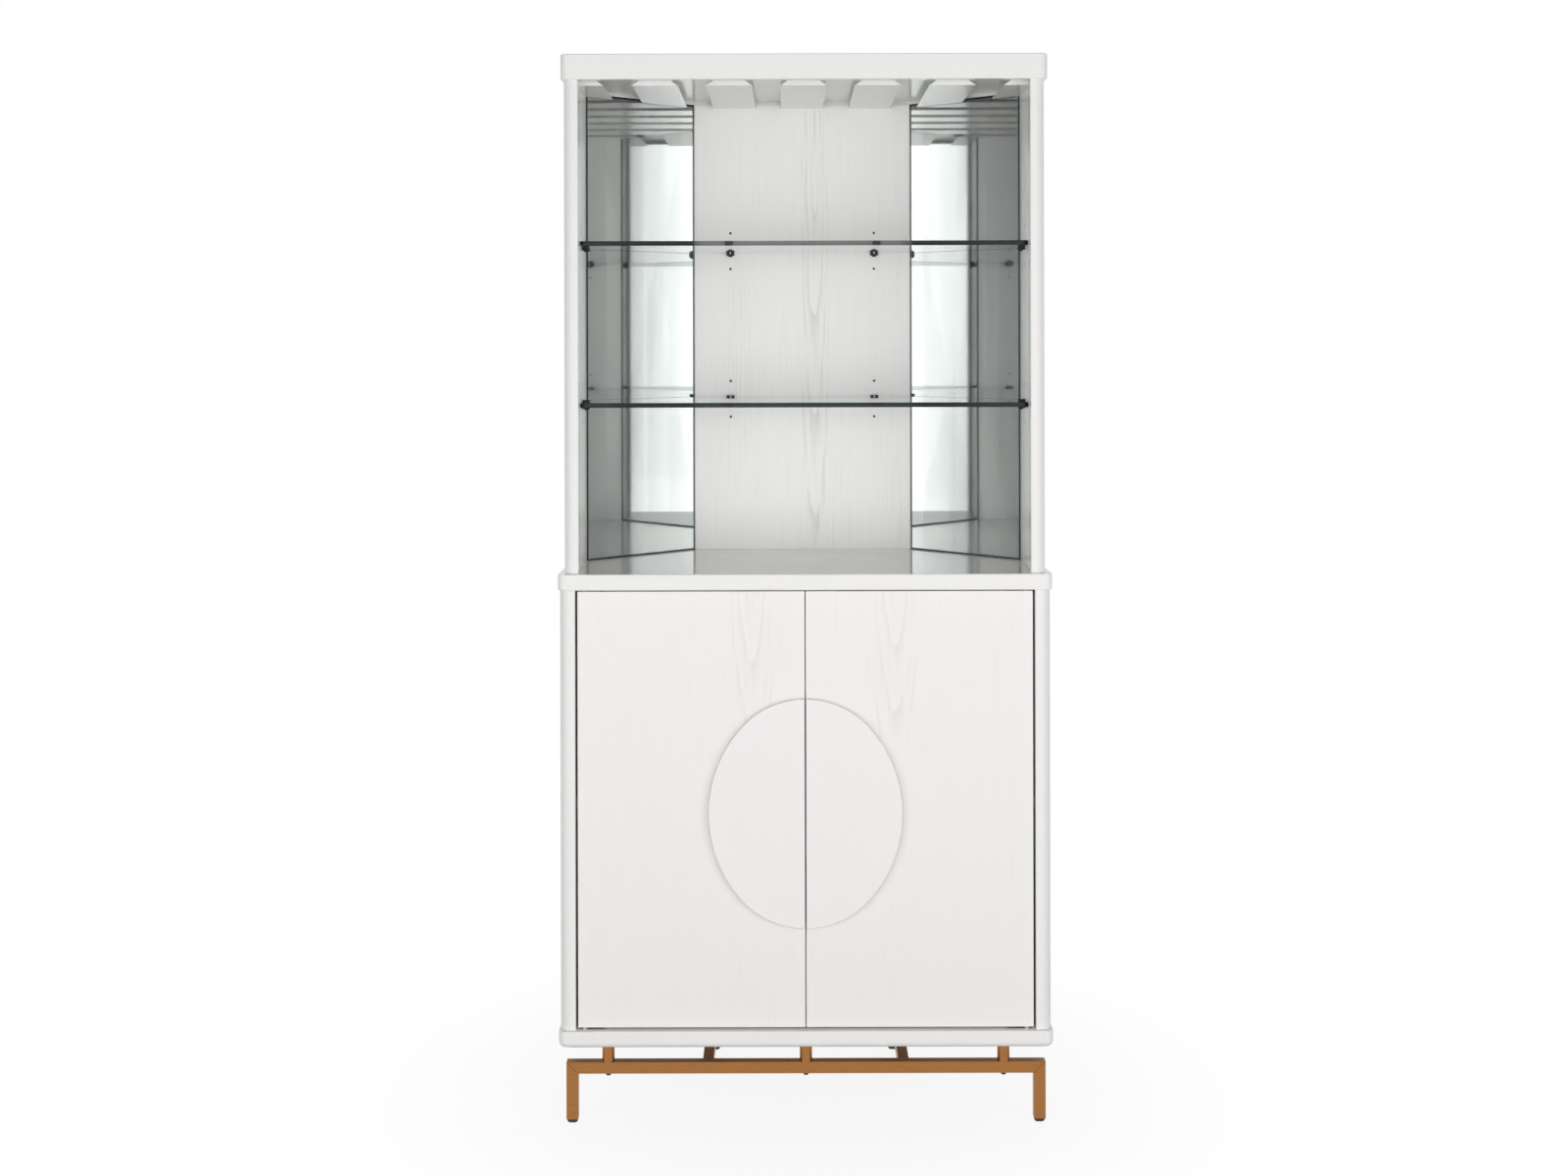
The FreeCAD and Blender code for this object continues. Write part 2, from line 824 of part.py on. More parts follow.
def make_rear_leg():
    """Right-hand rear leg with a closed top."""
    inner, outer = rail_offset - tube_height / 2, rail_offset + tube_height / 2
    leg = tube(inner, outer, rear_leg_front, rear_leg_back, glide_height, tube_high - tube_wall, 2)
    return leg.fuse(block(inner, outer, rear_leg_front, rear_leg_back, tube_high - tube_wall, tube_high))


def make_rear_bar():
    """Bar that ties the two rear legs."""
    half = rail_offset - tube_height / 2
    return tube(-half, half, rear_leg_front, rear_leg_back, tube_low, tube_high, 0)


def make_standoff(x, depth, across):
    """Round standoff, notched so that it saddles its tube; the tube runs across or front to back."""
    low = tube_high - standoff_lap
    post = rod(standoff_radius, x, depth, low, bottom_board_low)
    x_half = standoff_radius if across else tube_width / 2
    depth_half = tube_width / 2 if across else standoff_radius
    post = post.cut(block(x - x_half, x + x_half, depth - depth_half, depth + depth_half, low, tube_high))
    return post.cut(bolt_bore(x, depth, low, bottom_board_low))


def make_standoffs():
    """Three standoffs on the front bar and one on each rail."""
    front = [make_standoff(x, depth, True) for x, depth in front_standoff_places()]
    return front + [make_standoff(x, depth, False) for x, depth in rear_standoff_places()]


def make_bolt(x, depth):
    """Round-headed bolt from under the tube up into the bottom board."""
    head_low = tube_low - bolt_head_height
    head = rod(bolt_head_radius, x, depth, head_low, tube_low)
    return head.fuse(rod(bolt_radius, x, depth, tube_low, bottom_board_low + bolt_reach))


def make_glide(x_low, x_high, depth_low, depth_high):
    """Foot with eased edges under a leg, with a plug that goes up into the tube."""
    foot = block(
        x_low + glide_inset, x_high - glide_inset, depth_low + glide_inset, depth_high - glide_inset,
        0, glide_height,
    )
    foot = foot.makeChamfer(glide_corner_chamfer, upright_edges(foot, lambda x, y: True))
    foot = foot.makeChamfer(glide_chamfer, level_edges(foot, 0))
    wall = tube_wall + glide_plug_gap
    plug_high = glide_height + glide_plug_height
    plug = block(x_low + wall, x_high - wall, depth_low + wall, depth_high - wall, glide_height, plug_high)
    return foot.fuse(plug)


def make_glides():
    """One foot under each leg."""
    inner, outer = rail_offset - tube_height / 2, rail_offset + tube_height / 2
    front = make_glide(leg_inner, leg_outer, base_setback, base_setback + tube_width)
    rear = make_glide(inner, outer, rear_leg_front, rear_leg_back)
    return [front, mirrored(front), rear, mirrored(rear)]


def save_base():
    """Writes the metal base."""
    save("base_front_bar", make_front_bar())
    save_pair("front_leg", make_front_leg())
    save_pair("base_rail", make_rail())
    save_pair("rear_leg", make_rear_leg())
    save("base_rear_bar", make_rear_bar())
    save("base_standoffs", *make_standoffs())
    save("base_bolts", *[make_bolt(x, depth) for x, depth in standoff_places()])
    save("foot_glides", *make_glides())


def save_lower_stage():
    """Writes the lower cabinet without its doors."""
    save("bottom_board", make_bottom_board())
    save_pair("lower_post", make_post(lower))
    save_pair("lower_side_panel", make_lower_side_panel())
    save_pair("lower_rear_wall", make_rear_wall(lower))
    save("lower_back_panel", make_back_panel(lower))
    save("centre_divider", make_divider())
    save_pair("cabinet_shelf", make_cabinet_shelf())
    save("cabinet_shelf_pins", *make_cabinet_pins())
    save("magnetic_catches", make_catch(), mirrored(make_catch()))
    save("countertop", make_countertop())


def save_doors():
    """Writes the doors and what they hang on."""
    save_pair("door", make_door())
    save_pair("half_moon", make_half_moon())
    save_pair("strike_plate", make_strike())
    door_leaves, frame_leaves = make_door_leaves(), make_frame_leaves()
    save("door_hinge_leaves_right", *door_leaves)
    save("door_hinge_leaves_left", *[mirrored(leaf) for leaf in door_leaves])
    save("frame_hinge_leaves_right", *frame_leaves)
    save("frame_hinge_leaves_left", *[mirrored(leaf) for leaf in frame_leaves])


def save_upper_stage():
    """Writes the upper stage."""
    save_pair("upper_post", make_post(upper))
    save_pair("upper_side_panel", make_upper_side_panel())
    save_pair("upper_rear_wall", make_rear_wall(upper))
    save("upper_back_panel", make_upper_back_panel())
    save_pair("mirror", make_mirror())
    for level in glass_rises:
        save(f"glass_shelf_{level}", make_glass_shelf(level))
        save(f"shelf_clips_{level}", *make_clips(level))
    for name, step in slat_steps.items():
        save(f"stemware_slat_{name}", make_slat(step * slat_pitch))
    save("locating_tongues", *tongue_slots(0))
    save("cornice", make_cornice())


os.makedirs("parts", exist_ok=True)
save_base()
save_lower_stage()
save_doors()
save_upper_stage()
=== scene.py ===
"""Finishes and fine shapes of a corner wine cabinet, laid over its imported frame.

Lengths are in metres. X runs to the right, +Y to the back and +Z up, with the origin on the floor in the
middle of the plan.
"""
from __future__ import annotations

import json
import logging
import math
from collections.abc import Callable, Iterable, Sequence
from dataclasses import dataclass
from enum import Enum

import bmesh
import bpy
from bmesh.types import BMEdge, BMesh, BMVert
from bpy.types import Material, Node, NodeSocket, NodeTree, Object
from mathutils import Matrix, Vector

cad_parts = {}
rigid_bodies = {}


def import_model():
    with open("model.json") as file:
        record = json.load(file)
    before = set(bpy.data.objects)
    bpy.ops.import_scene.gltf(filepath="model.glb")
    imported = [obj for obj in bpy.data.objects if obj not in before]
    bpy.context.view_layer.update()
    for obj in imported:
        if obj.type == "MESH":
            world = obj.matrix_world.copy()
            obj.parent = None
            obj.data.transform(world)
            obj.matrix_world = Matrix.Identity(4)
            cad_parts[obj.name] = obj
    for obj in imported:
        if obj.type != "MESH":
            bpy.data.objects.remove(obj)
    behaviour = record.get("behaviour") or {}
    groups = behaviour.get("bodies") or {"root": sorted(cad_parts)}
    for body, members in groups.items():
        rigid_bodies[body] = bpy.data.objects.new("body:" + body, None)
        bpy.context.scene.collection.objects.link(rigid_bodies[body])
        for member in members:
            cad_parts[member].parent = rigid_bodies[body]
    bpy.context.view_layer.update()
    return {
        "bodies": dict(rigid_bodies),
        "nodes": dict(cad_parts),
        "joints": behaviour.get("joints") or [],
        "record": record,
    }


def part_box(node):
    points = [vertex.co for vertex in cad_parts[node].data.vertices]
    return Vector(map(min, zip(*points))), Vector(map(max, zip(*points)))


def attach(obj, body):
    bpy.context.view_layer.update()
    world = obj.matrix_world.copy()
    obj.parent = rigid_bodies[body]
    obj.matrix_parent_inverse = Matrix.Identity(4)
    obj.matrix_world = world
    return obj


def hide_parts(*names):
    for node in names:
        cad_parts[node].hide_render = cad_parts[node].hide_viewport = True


log = logging.getLogger("corner_cabinet")

MILLIMETRE = 0.001
SMOOTH_ANGLE = math.radians(32)
MERGE_DISTANCE = 0.01 * MILLIMETRE
FLAT_ANGLE = math.radians(0.5)
FULL_TURN = 2 * math.pi
ALIGNED = 0.99
SHORTEST_EDGE = 4 * MILLIMETRE
ROUND_PROFILE = 0.5

Triple = tuple[float, float, float]
Colour = Triple
Inputs = dict[str, object]


class Body(Enum):
    """Bodies of the frame that pieces ride on."""

    CABINET = "root"
    LEFT_DOOR = "left_door"
    RIGHT_DOOR = "right_door"


class Side(Enum):
    """The two sides of the cabinet: a word for names and the sign of x."""

    LEFT = ("left", -1)
    RIGHT = ("right", 1)

    @property
    def word(self) -> str:
        """Word used in the names of nodes."""
        return self.value[0]

    @property
    def sign(self) -> int:
        """Sign of x on this side."""
        return self.value[1]

    @property
    def door_body(self) -> Body:
        """Body of this side's door."""
        return Body.LEFT_DOOR if self is Side.LEFT else Body.RIGHT_DOOR


class Graph:
    """Adds and joins the nodes of one shader tree."""

    def __init__(self, tree: NodeTree) -> None:
        """Keeps the tree that nodes go into."""
        self.tree = tree

    def feed(self, socket: NodeSocket, value: object) -> None:
        """Links a socket to an input, or sets the input to a fixed value."""
        if isinstance(value, NodeSocket):
            self.tree.links.new(value, socket)
        else:
            socket.default_value = value

    def fill(self, node: Node, inputs: Inputs) -> None:
        """Feeds several inputs of a node by their names."""
        for name, value in inputs.items():
            self.feed(node.inputs[name], value)

    def node(self, kind: str, inputs: Inputs | None = None, **settings: object) -> Node:
        """Adds a node.

        Args:
            kind: type of the node.
            inputs: values or sockets by input name.
            settings: properties of the node.

        Returns:
            The new node.
        """
        made = self.tree.nodes.new(kind)
        for name, value in settings.items():
            setattr(made, name, value)
        self.fill(made, inputs or {})
        return made

    def maths(self, operation: str, *values: object) -> NodeSocket:
        """Result of one scalar operation."""
        made = self.node("ShaderNodeMath", operation=operation)
        for socket, value in zip(made.inputs, values):
            self.feed(socket, value)
        return made.outputs[0]

    def span(self, value: object, low: object, high: object, start: float = 0,
             end: float = 1) -> NodeSocket:
        """Value mapped smoothly from one range to another, and clamped."""
        made = self.node("ShaderNodeMapRange", interpolation_type="SMOOTHSTEP")
        for socket, setting in zip(made.inputs, (value, low, high, start, end)):
            self.feed(socket, setting)
        return made.outputs[0]

    def blend(self, factor: object, first: object, second: object) -> NodeSocket:
        """Colour between two colours."""
        made = self.node("ShaderNodeMix", data_type="RGBA")
        for name, value in (("Factor_Float", factor), ("A_Color", first), ("B_Color", second)):
            socket = next(s for s in made.inputs if s.identifier == name)
            self.feed(socket, opaque(value) if isinstance(value, tuple) else value)
        return next(s for s in made.outputs if s.identifier == "Result_Color")

    def noise(self, vector: object, scale: float, detail: float = 2) -> NodeSocket:
        """Smooth noise from 0 to 1."""
        inputs = {"Vector": vector, "Scale": scale, "Detail": detail}
        return self.node("ShaderNodeTexNoise", inputs).outputs[0]

    def mapped(self, vector: object, **settings: Triple) -> NodeSocket:
        """Vector moved, turned or scaled by a setting: Location, Rotation or Scale."""
        return self.node("ShaderNodeMapping", {"Vector": vector, **settings}).outputs[0]

    def axis(self, vector: object, number: int) -> NodeSocket:
        """One coordinate of a vector."""
        return self.node("ShaderNodeSeparateXYZ", {"Vector": vector}).outputs[number]

    def bump(self, height: object, depth: float, strength: float) -> NodeSocket:
        """Normal bent by a height."""
        inputs = {"Height": height, "Distance": depth, "Strength": strength}
        return self.node("ShaderNodeBump", inputs).outputs[0]


def opaque(colour: Colour) -> tuple[float, float, float, float]:
    """Colour with full alpha."""
    return (*colour, 1.0)


@dataclass(frozen=True)
class Mask:
    """Noise mapped smoothly to a range, and stretched along the axes where asked."""

    scale: float
    low: float
    high: float
    start: float = 0.0
    end: float = 1.0
    detail: float = 2
    stretch: Triple | None = None

    def build(self, graph: Graph, vector: NodeSocket) -> NodeSocket:
        """Mask over a vector."""
        place = graph.mapped(vector, Scale=self.stretch) if self.stretch else vector
        noise = graph.noise(place, self.scale, self.detail)
        return graph.span(noise, self.low, self.high, self.start, self.end)


NOISE_MIDDLE = (0.3, 0.7)
SHIVER_STRETCH = (1, 1, 0.12)
SHIVER_SCALE = 42
SHIVER_WIDTH = 0.016
LINE_SHARPNESS = 2.5
CROWN_CORE = 0.5
FADE_HEIGHT = 0.12
FAINT_FIGURE = 0.16
LINE_BREAKS = Mask(160, 0.38, 0.58, start=0.15, stretch=(1, 1, 0.07))
GRAIN_PATCHES = Mask(7.5, 0.5, 0.66, end=0.55, stretch=(1, 1, 0.35))
STREAKS = Mask(420, 0.5, 0.7, end=0.2, stretch=(1, 1, 0.02))
SLOW_TONE = Mask(4, *NOISE_MIDDLE, end=0.6, detail=3)
FINE_TONE = Mask(900, *NOISE_MIDDLE, end=0.4, detail=1)
RIPPLE_SCALE = 260
BRUSH_STRETCH = (0.05, 1, 1)
BRUSH_SCALE = 900
SHELF_HAZE = Mask(6, 0.4, 0.8, end=0.015)
MIRROR_HAZE = Mask(5, 0.4, 0.8, end=0.01)
SILVER_CLOUD = Mask(8, *NOISE_MIDDLE, detail=3)


@dataclass(frozen=True)
class SharedGroup:
    """Shader group of several finishes: its name, what fills it, its number inputs and its outputs."""

    name: str
    fill: Callable[[Graph, Node, Node], None]
    inputs: tuple[str, ...]
    outputs: tuple[str, ...]

    def use(self, graph: Graph, inputs: Inputs) -> Node:
        """Node that uses the group, which is built at its first use.

        Args:
            graph: graph that the node goes into.
            inputs: values or sockets by input name, with Vector among them.

        Returns:
            The new node.
        """
        tree = bpy.data.node_groups.get(self.name)
        if tree is None:
            tree = bpy.data.node_groups.new(self.name, "ShaderNodeTree")
            tree.interface.new_socket("Vector", in_out="INPUT", socket_type="NodeSocketVector")
            for way, labels in (("INPUT", self.inputs), ("OUTPUT", self.outputs)):
                for label in labels:
                    tree.interface.new_socket(label, in_out=way, socket_type="NodeSocketFloat")
            inner = Graph(tree)
            self.fill(inner, inner.node("NodeGroupInput"), inner.node("NodeGroupOutput"))
        return graph.node("ShaderNodeGroup", inputs, node_tree=tree)


def build_open_grain(graph: Graph, start: Node, end: Node) -> None:
    """Fills the open grain group: rings round a tilted pith near the crown, and broken streaks all over."""
    vector, width, lowest = (start.outputs[name] for name in ("Vector", "Crown Width", "Lowest"))
    sideways, upward = (graph.axis(vector, number) for number in (0, 2))
    noise = graph.noise(graph.mapped(vector, Scale=SHIVER_STRETCH), SHIVER_SCALE)
    shiver = graph.maths("MULTIPLY", graph.maths("SUBTRACT", noise, 0.5), SHIVER_WIDTH)
    across = graph.maths("ADD", sideways, shiver)
    along = graph.maths("MULTIPLY", upward, start.outputs["Crown"])
    squares = [graph.maths("MULTIPLY", length, length) for length in (across, along)]
    reach = graph.maths("SQRT", graph.maths("ADD", *squares))
    ring = graph.maths("FRACT", graph.maths("DIVIDE", reach, start.outputs["Ring Spacing"]))
    line = graph.maths("POWER", graph.maths("SUBTRACT", 1.0, ring), LINE_SHARPNESS)
    core = graph.maths("MULTIPLY", width, CROWN_CORE)
    near = graph.span(graph.maths("ABSOLUTE", sideways), core, width, 1.0, 0.0)
    faded = graph.maths("SUBTRACT", lowest, FADE_HEIGHT)
    upper = graph.span(upward, faded, lowest, FAINT_FIGURE, 1.0)
    shown = graph.maths("MULTIPLY", graph.maths("MAXIMUM", near, GRAIN_PATCHES.build(graph, vector)), upper)
    broken = graph.maths("MULTIPLY", line, LINE_BREAKS.build(graph, vector))
    figure = graph.maths("MULTIPLY", broken, shown)
    total = graph.maths("MINIMUM", graph.maths("ADD", figure, STREAKS.build(graph, vector)), 1.0)
    graph.fill(end, {"Figure": total, "Height": graph.maths("SUBTRACT", 1.0, total)})


def build_satin_film(graph: Graph, start: Node, end: Node) -> None:
    """Fills the satin film group: slow and fine changes of tone, and a fine ripple."""
    vector = start.outputs["Vector"]
    tone = graph.maths("ADD", *(mask.build(graph, vector) for mask in (SLOW_TONE, FINE_TONE)))
    graph.fill(end, {"Tone": tone, "Height": graph.noise(vector, RIPPLE_SCALE, 1)})


def build_brushed(graph: Graph, start: Node, end: Node) -> None:
    """Fills the brushed group: fine lines along a metal piece."""
    lines = graph.noise(graph.mapped(start.outputs["Vector"], Scale=BRUSH_STRETCH), BRUSH_SCALE)
    graph.fill(end, {"Lines": graph.span(lines, *NOISE_MIDDLE), "Height": lines})


OPEN_GRAIN = SharedGroup(
    "open_grain", build_open_grain, ("Ring Spacing", "Crown", "Crown Width", "Lowest"), ("Figure", "Height"),
)
SATIN_FILM = SharedGroup("satin_film", build_satin_film, (), ("Tone", "Height"))
BRUSHED = SharedGroup("brushed", build_brushed, (), ("Lines", "Height"))


def new_material(name: str) -> tuple[Material, Graph, Node]:
    """New material with its graph and its shader."""
    material = bpy.data.materials.new(name)
    material.use_nodes = True
    return material, Graph(material.node_tree), material.node_tree.nodes["Principled BSDF"]


@dataclass(frozen=True)
class Finish:
    """One finish: its name, the record's slot, its colour and how rough it is."""

    name: str
    slot: str
    colour: Colour
    roughness: float

    def shaded(self, share: float) -> Colour:
        """Colour of this finish with every channel brought to a share."""
        return tuple(channel * share for channel in self.colour)

    def material(self) -> Material:
        """Material with the fixed values set, then what the finish drives itself."""
        material, graph, shader = new_material(self.name)
        graph.fill(shader, {"Base Color": opaque(self.colour), "Roughness": self.roughness})
        place = graph.node("ShaderNodeTexCoord").outputs["Object"]
        graph.fill(shader, self.inputs(graph, place))
        return material

    def inputs(self, graph: Graph, place: NodeSocket) -> Inputs:
        """Shader inputs that this finish drives, from the object's coordinates."""
        raise NotImplementedError


@dataclass(frozen=True)
class SatinPaint(Finish):
    """Smooth sprayed paint."""

    tone_shift: float = 0.008
    rough_shift: float = 0.08
    ripple_depth: float = 0.00003
    ripple_strength: float = 0.1

    def inputs(self, graph: Graph, place: NodeSocket) -> Inputs:
        """Paint with slow and fine changes of tone, and a fine ripple."""
        film = SATIN_FILM.use(graph, {"Vector": place})
        tone = film.outputs["Tone"]
        duller, glossier = (self.roughness * (1 + way * self.rough_shift) for way in (1, -1))
        return {
            "Base Color": graph.blend(tone, self.shaded(1 - self.tone_shift), self.colour),
            "Roughness": graph.span(tone, 0, 1, duller, glossier),
            "Normal": graph.bump(film.outputs["Height"], self.ripple_depth, self.ripple_strength),
        }


@dataclass(frozen=True)
class GrainedPaint(Finish):
    """Paint over open-grained veneer; the crown of the figure has a place of its own on each panel."""

    crown_place: Triple = (0, 0, 0)
    pore_colour: Colour = (0.62, 0.615, 0.60)
    pore_depth: float = 0.0001
    pore_roughness: float = 0.12
    bump_strength: float = 0.5
    ripple_share: float = 0.08
    strength: float = 0.42
    ring_spacing: float = 0.0085
    crown: float = 0.07
    crown_width: float = 0.05
    lowest: float = -1.0
    lies_flat: bool = False

    def inputs(self, graph: Graph, place: NodeSocket) -> Inputs:
        """Paint that has sunk into the pores."""
        offset = tuple(-part for part in self.crown_place)
        shifted = graph.mapped(place, Location=offset)
        if self.lies_flat:
            shifted = graph.mapped(shifted, Rotation=(-math.pi / 2, -math.pi / 2, 0))
        grain = OPEN_GRAIN.use(graph, {
            "Vector": shifted, "Ring Spacing": self.ring_spacing, "Crown": self.crown,
            "Crown Width": self.crown_width, "Lowest": self.lowest,
        })
        film = SATIN_FILM.use(graph, {"Vector": place})
        figure = grain.outputs["Figure"]
        ripple = graph.maths("MULTIPLY", film.outputs["Height"], self.ripple_share)
        height = graph.maths("ADD", grain.outputs["Height"], ripple)
        depth = graph.maths("MULTIPLY", figure, self.strength)
        return {
            "Base Color": graph.blend(depth, self.colour, self.pore_colour),
            "Roughness": graph.span(figure, 0, 1, self.roughness, self.roughness + self.pore_roughness),
            "Normal": graph.bump(height, self.pore_depth, self.bump_strength),
        }


@dataclass(frozen=True)
class SatinMetal(Finish):
    """Metal, or a metallic coating, with a fine satin texture."""

    metallic: float = 1.0
    line_shade: float = 0.88
    rough_reach: float = 0.05
    line_depth: float = 0.00002
    bump_strength: float = 0.4

    def inputs(self, graph: Graph, place: NodeSocket) -> Inputs:
        """Metal whose tone and roughness follow the fine lines."""
        brushed = BRUSHED.use(graph, {"Vector": place})
        lines = brushed.outputs["Lines"]
        duller, glossier = (self.roughness + way * self.rough_reach for way in (1, -1))
        return {
            "Metallic": self.metallic,
            "Base Color": graph.blend(lines, self.shaded(self.line_shade), self.colour),
            "Roughness": graph.span(lines, 0, 1, duller, glossier),
            "Normal": graph.bump(brushed.outputs["Height"], self.line_depth, self.bump_strength),
        }


@dataclass(frozen=True)
class MouldedPlastic(Finish):
    """Moulded plastic with a fine spark-eroded texture."""

    speck_scale: float = 1500
    rough_reach: float = 0.08
    speck_depth: float = 0.00003
    bump_strength: float = 0.5

    def inputs(self, graph: Graph, place: NodeSocket) -> Inputs:
        """Plastic with a mottled roughness."""
        fine = graph.noise(place, self.speck_scale)
        glossier, duller = (self.roughness + way * self.rough_reach for way in (-1, 1))
        return {
            "Roughness": graph.span(fine, *NOISE_MIDDLE, glossier, duller),
            "Normal": graph.bump(fine, self.speck_depth, self.bump_strength),
        }


@dataclass(frozen=True)
class Glass(Finish):
    """Clear glass with a faint tint and haze."""

    haze: Mask = MIRROR_HAZE
    refraction: float = 1.5

    def inputs(self, graph: Graph, place: NodeSocket) -> Inputs:
        """Glass whose roughness follows its haze."""
        rough = graph.maths("ADD", self.haze.build(graph, place), self.roughness)
        return {"Transmission Weight": 1.0, "IOR": self.refraction, "Roughness": rough}


@dataclass(frozen=True)
class ShelfGlass(Glass):
    """Glass whose edges, seen through much glass, look dark green; in a middle stretch before the back panel
    they take a paler tone, which is painted light.
    """

    haze: Mask = SHELF_HAZE
    edge_colour: Colour = (0.02, 0.07, 0.06)
    middle_painted_light: Colour = (0.02, 0.07, 0.06)
    middle_start: float = 0.19
    middle_end: float = 0.23
    edge_slopes: tuple[float, float] = (0.35, 0.8)

    def inputs(self, graph: Graph, place: NodeSocket) -> Inputs:
        """Glass with its level faces clear and its upright edges dark."""
        normal = graph.node("ShaderNodeNewGeometry").outputs["Normal"]
        edge = graph.span(graph.maths("ABSOLUTE", graph.axis(normal, 2)), *self.edge_slopes, 1, 0)
        sideways = graph.maths("ABSOLUTE", graph.axis(place, 0))
        outer = graph.span(sideways, self.middle_start, self.middle_end)
        # The middle stretch of the edges takes its own tone: painted light where it is paler.
        edge_tone = graph.blend(outer, self.middle_painted_light, self.edge_colour)
        tone = graph.blend(edge, self.colour, edge_tone)
        return super().inputs(graph, place) | {"Base Color": tone}


@dataclass(frozen=True)
class Silvering(Finish):
    """The silver behind the glass."""

    cloud_shade: float = 0.985

    def inputs(self, graph: Graph, place: NodeSocket) -> Inputs:
        """Mirror metal with a faint cloudiness."""
        cloud = SILVER_CLOUD.build(graph, place)
        tone = graph.blend(cloud, self.shaded(self.cloud_shade), self.colour)
        return {"Metallic": 1.0, "Base Color": tone}


@dataclass(frozen=True)
class RawWood(Finish):
    """Unpainted close-grained wood or board."""

    fleck_stretch: Triple = (0.15, 1, 1)
    fleck_scale: float = 260.0
    fleck_range: tuple[float, float] = (0.35, 0.6)
    fleck_shade: float = 0.7
    fleck_depth: float = 0.00005
    bump_strength: float = 0.5

    def inputs(self, graph: Graph, place: NodeSocket) -> Inputs:
        """Wood with short dark flecks."""
        fleck = graph.noise(graph.mapped(place, Scale=self.fleck_stretch), self.fleck_scale, 3)
        pale = graph.span(fleck, *self.fleck_range)
        return {
            "Base Color": graph.blend(pale, self.shaded(self.fleck_shade), self.colour),
            "Normal": graph.bump(fleck, self.fleck_depth, self.bump_strength),
        }


WHITE: Colour = (0.815, 0.81, 0.80)
DOOR_WHITE: Colour = (0.82, 0.805, 0.797)
# Brighter than the same paint elsewhere: painted light that makes up for the shade on the back panels inside
# the cabinet.
LIT_BACK_WHITE: Colour = (0.87, 0.865, 0.855)
# Brighter and greener than the same paint elsewhere: painted light for the shaded inner faces of the side
# panels that the mirrors show.
LIT_PANEL_WHITE: Colour = (0.90, 0.915, 0.90)
GLASS_TINT: Colour = (0.955, 0.985, 0.97)
WHITE_PAINT = SatinPaint("satin_white_paint", "painted_white", WHITE, 0.17)
# Side panel paint with the brightened white: painted light.
LIT_PANEL_PAINT = SatinPaint("lit_side_panel_paint", "painted_white", LIT_PANEL_WHITE, 0.24)
MOON_PAINT = SatinPaint("half_moon_paint", "painted_white", (0.82, 0.807, 0.802), 0.28)
LEFT_GRAIN = GrainedPaint(
    "left_door_grain", "grained_white", DOOR_WHITE, 0.28, crown_place=(-0.1, 0, 1.35), lowest=-0.54,
)
RIGHT_GRAIN = GrainedPaint(
    "right_door_grain", "grained_white", DOOR_WHITE, 0.28, crown_place=(0.167, 0, 1.38), lowest=-0.6,
)
# Its colour is the brightened back white, painted light for the shaded back panels.
BACK_GRAIN = GrainedPaint(
    "back_panel_grain", "grained_white", LIT_BACK_WHITE, 0.28, crown_place=(0.026, 0, 1.925), strength=0.6,
    crown=0.0413, crown_width=0.035,
)
TOP_GRAIN = GrainedPaint(
    "countertop_grain", "grained_white", WHITE, 0.09, crown_place=(0.5, 0.03, 1.03), strength=0.22,
    pore_depth=0.00003, crown_width=0.12, lies_flat=True,
)
BRONZE = SatinMetal("satin_bronze", "bronze_metal", (0.41, 0.186, 0.06), 0.38)
BOLT_STEEL = SatinMetal("dark_bolts", "bolt_steel", (0.05, 0.05, 0.05), 0.4)
GUNMETAL = SatinMetal("gunmetal_clips", "clip_metal", (0.045, 0.05, 0.05), 0.35)
HINGE_STEEL = SatinMetal("hinge_plates", "hinge_steel", (0.6, 0.59, 0.57), 0.35, metallic=0.5)
# Pale pads in the clip jaws; their pale tone also stands in for a glint at the jaw, a painted highlight.
PAD_AND_GLINT = MouldedPlastic("clip_pads_and_painted_glint", "clip_metal", (0.5, 0.5, 0.49), 0.4)
BLACK_PLASTIC = MouldedPlastic("black_glides", "glide_plastic", (0.018, 0.018, 0.018), 0.5)
CATCH_PLASTIC = MouldedPlastic("catch_cases", "catch_plastic", (0.78, 0.78, 0.76), 0.45)
LOWER_GLASS = ShelfGlass("lower_shelf_sheet", "shelf_glass", GLASS_TINT, 0.0)
# The upper shelf's edges are paler in the middle: painted light for the better lit stretch before the back
# panel.
UPPER_GLASS = ShelfGlass(
    "upper_shelf_sheet", "shelf_glass", GLASS_TINT, 0.0, middle_painted_light=(0.35, 0.36, 0.355),
)
MIRROR_GLASS = Glass("mirror_sheet", "mirror_glass", (0.985, 1.0, 0.995), 0.0)
SILVER = Silvering("mirror_silver", "mirror_glass", (0.98, 0.995, 0.985), 0.02)
# Dark finish of the cut edges, also painted as shade on the strips along the top and bottom of the mirrors'
# backs.
MIRROR_EDGE_AND_SHADE = MouldedPlastic("mirror_cut_edge_and_shade", "mirror_glass", (0.05, 0.075, 0.065), 0.35)
# Near-black walls of the pin holes: bare board, darkened as painted shade inside the deep holes.
SHADED_HOLE_BOARD = RawWood("bare_hole_walls_painted_shade", "painted_white", (0.07, 0.06, 0.05), 0.9)
BEECH = RawWood("bare_beech", "bare_beech", (0.6, 0.42, 0.25), 0.6)


def mesh_from(name: str, shape: BMesh) -> bpy.types.Mesh:
    """Mesh made from a shape, which is freed."""
    mesh = bpy.data.meshes.new(name)
    shape.to_mesh(mesh)
    shape.free()
    return mesh


def add_object(name: str, data: bpy.types.ID) -> Object:
    """New object in the scene that holds the data."""
    made = bpy.data.objects.new(name, data)
    bpy.context.scene.collection.objects.link(made)
    return made


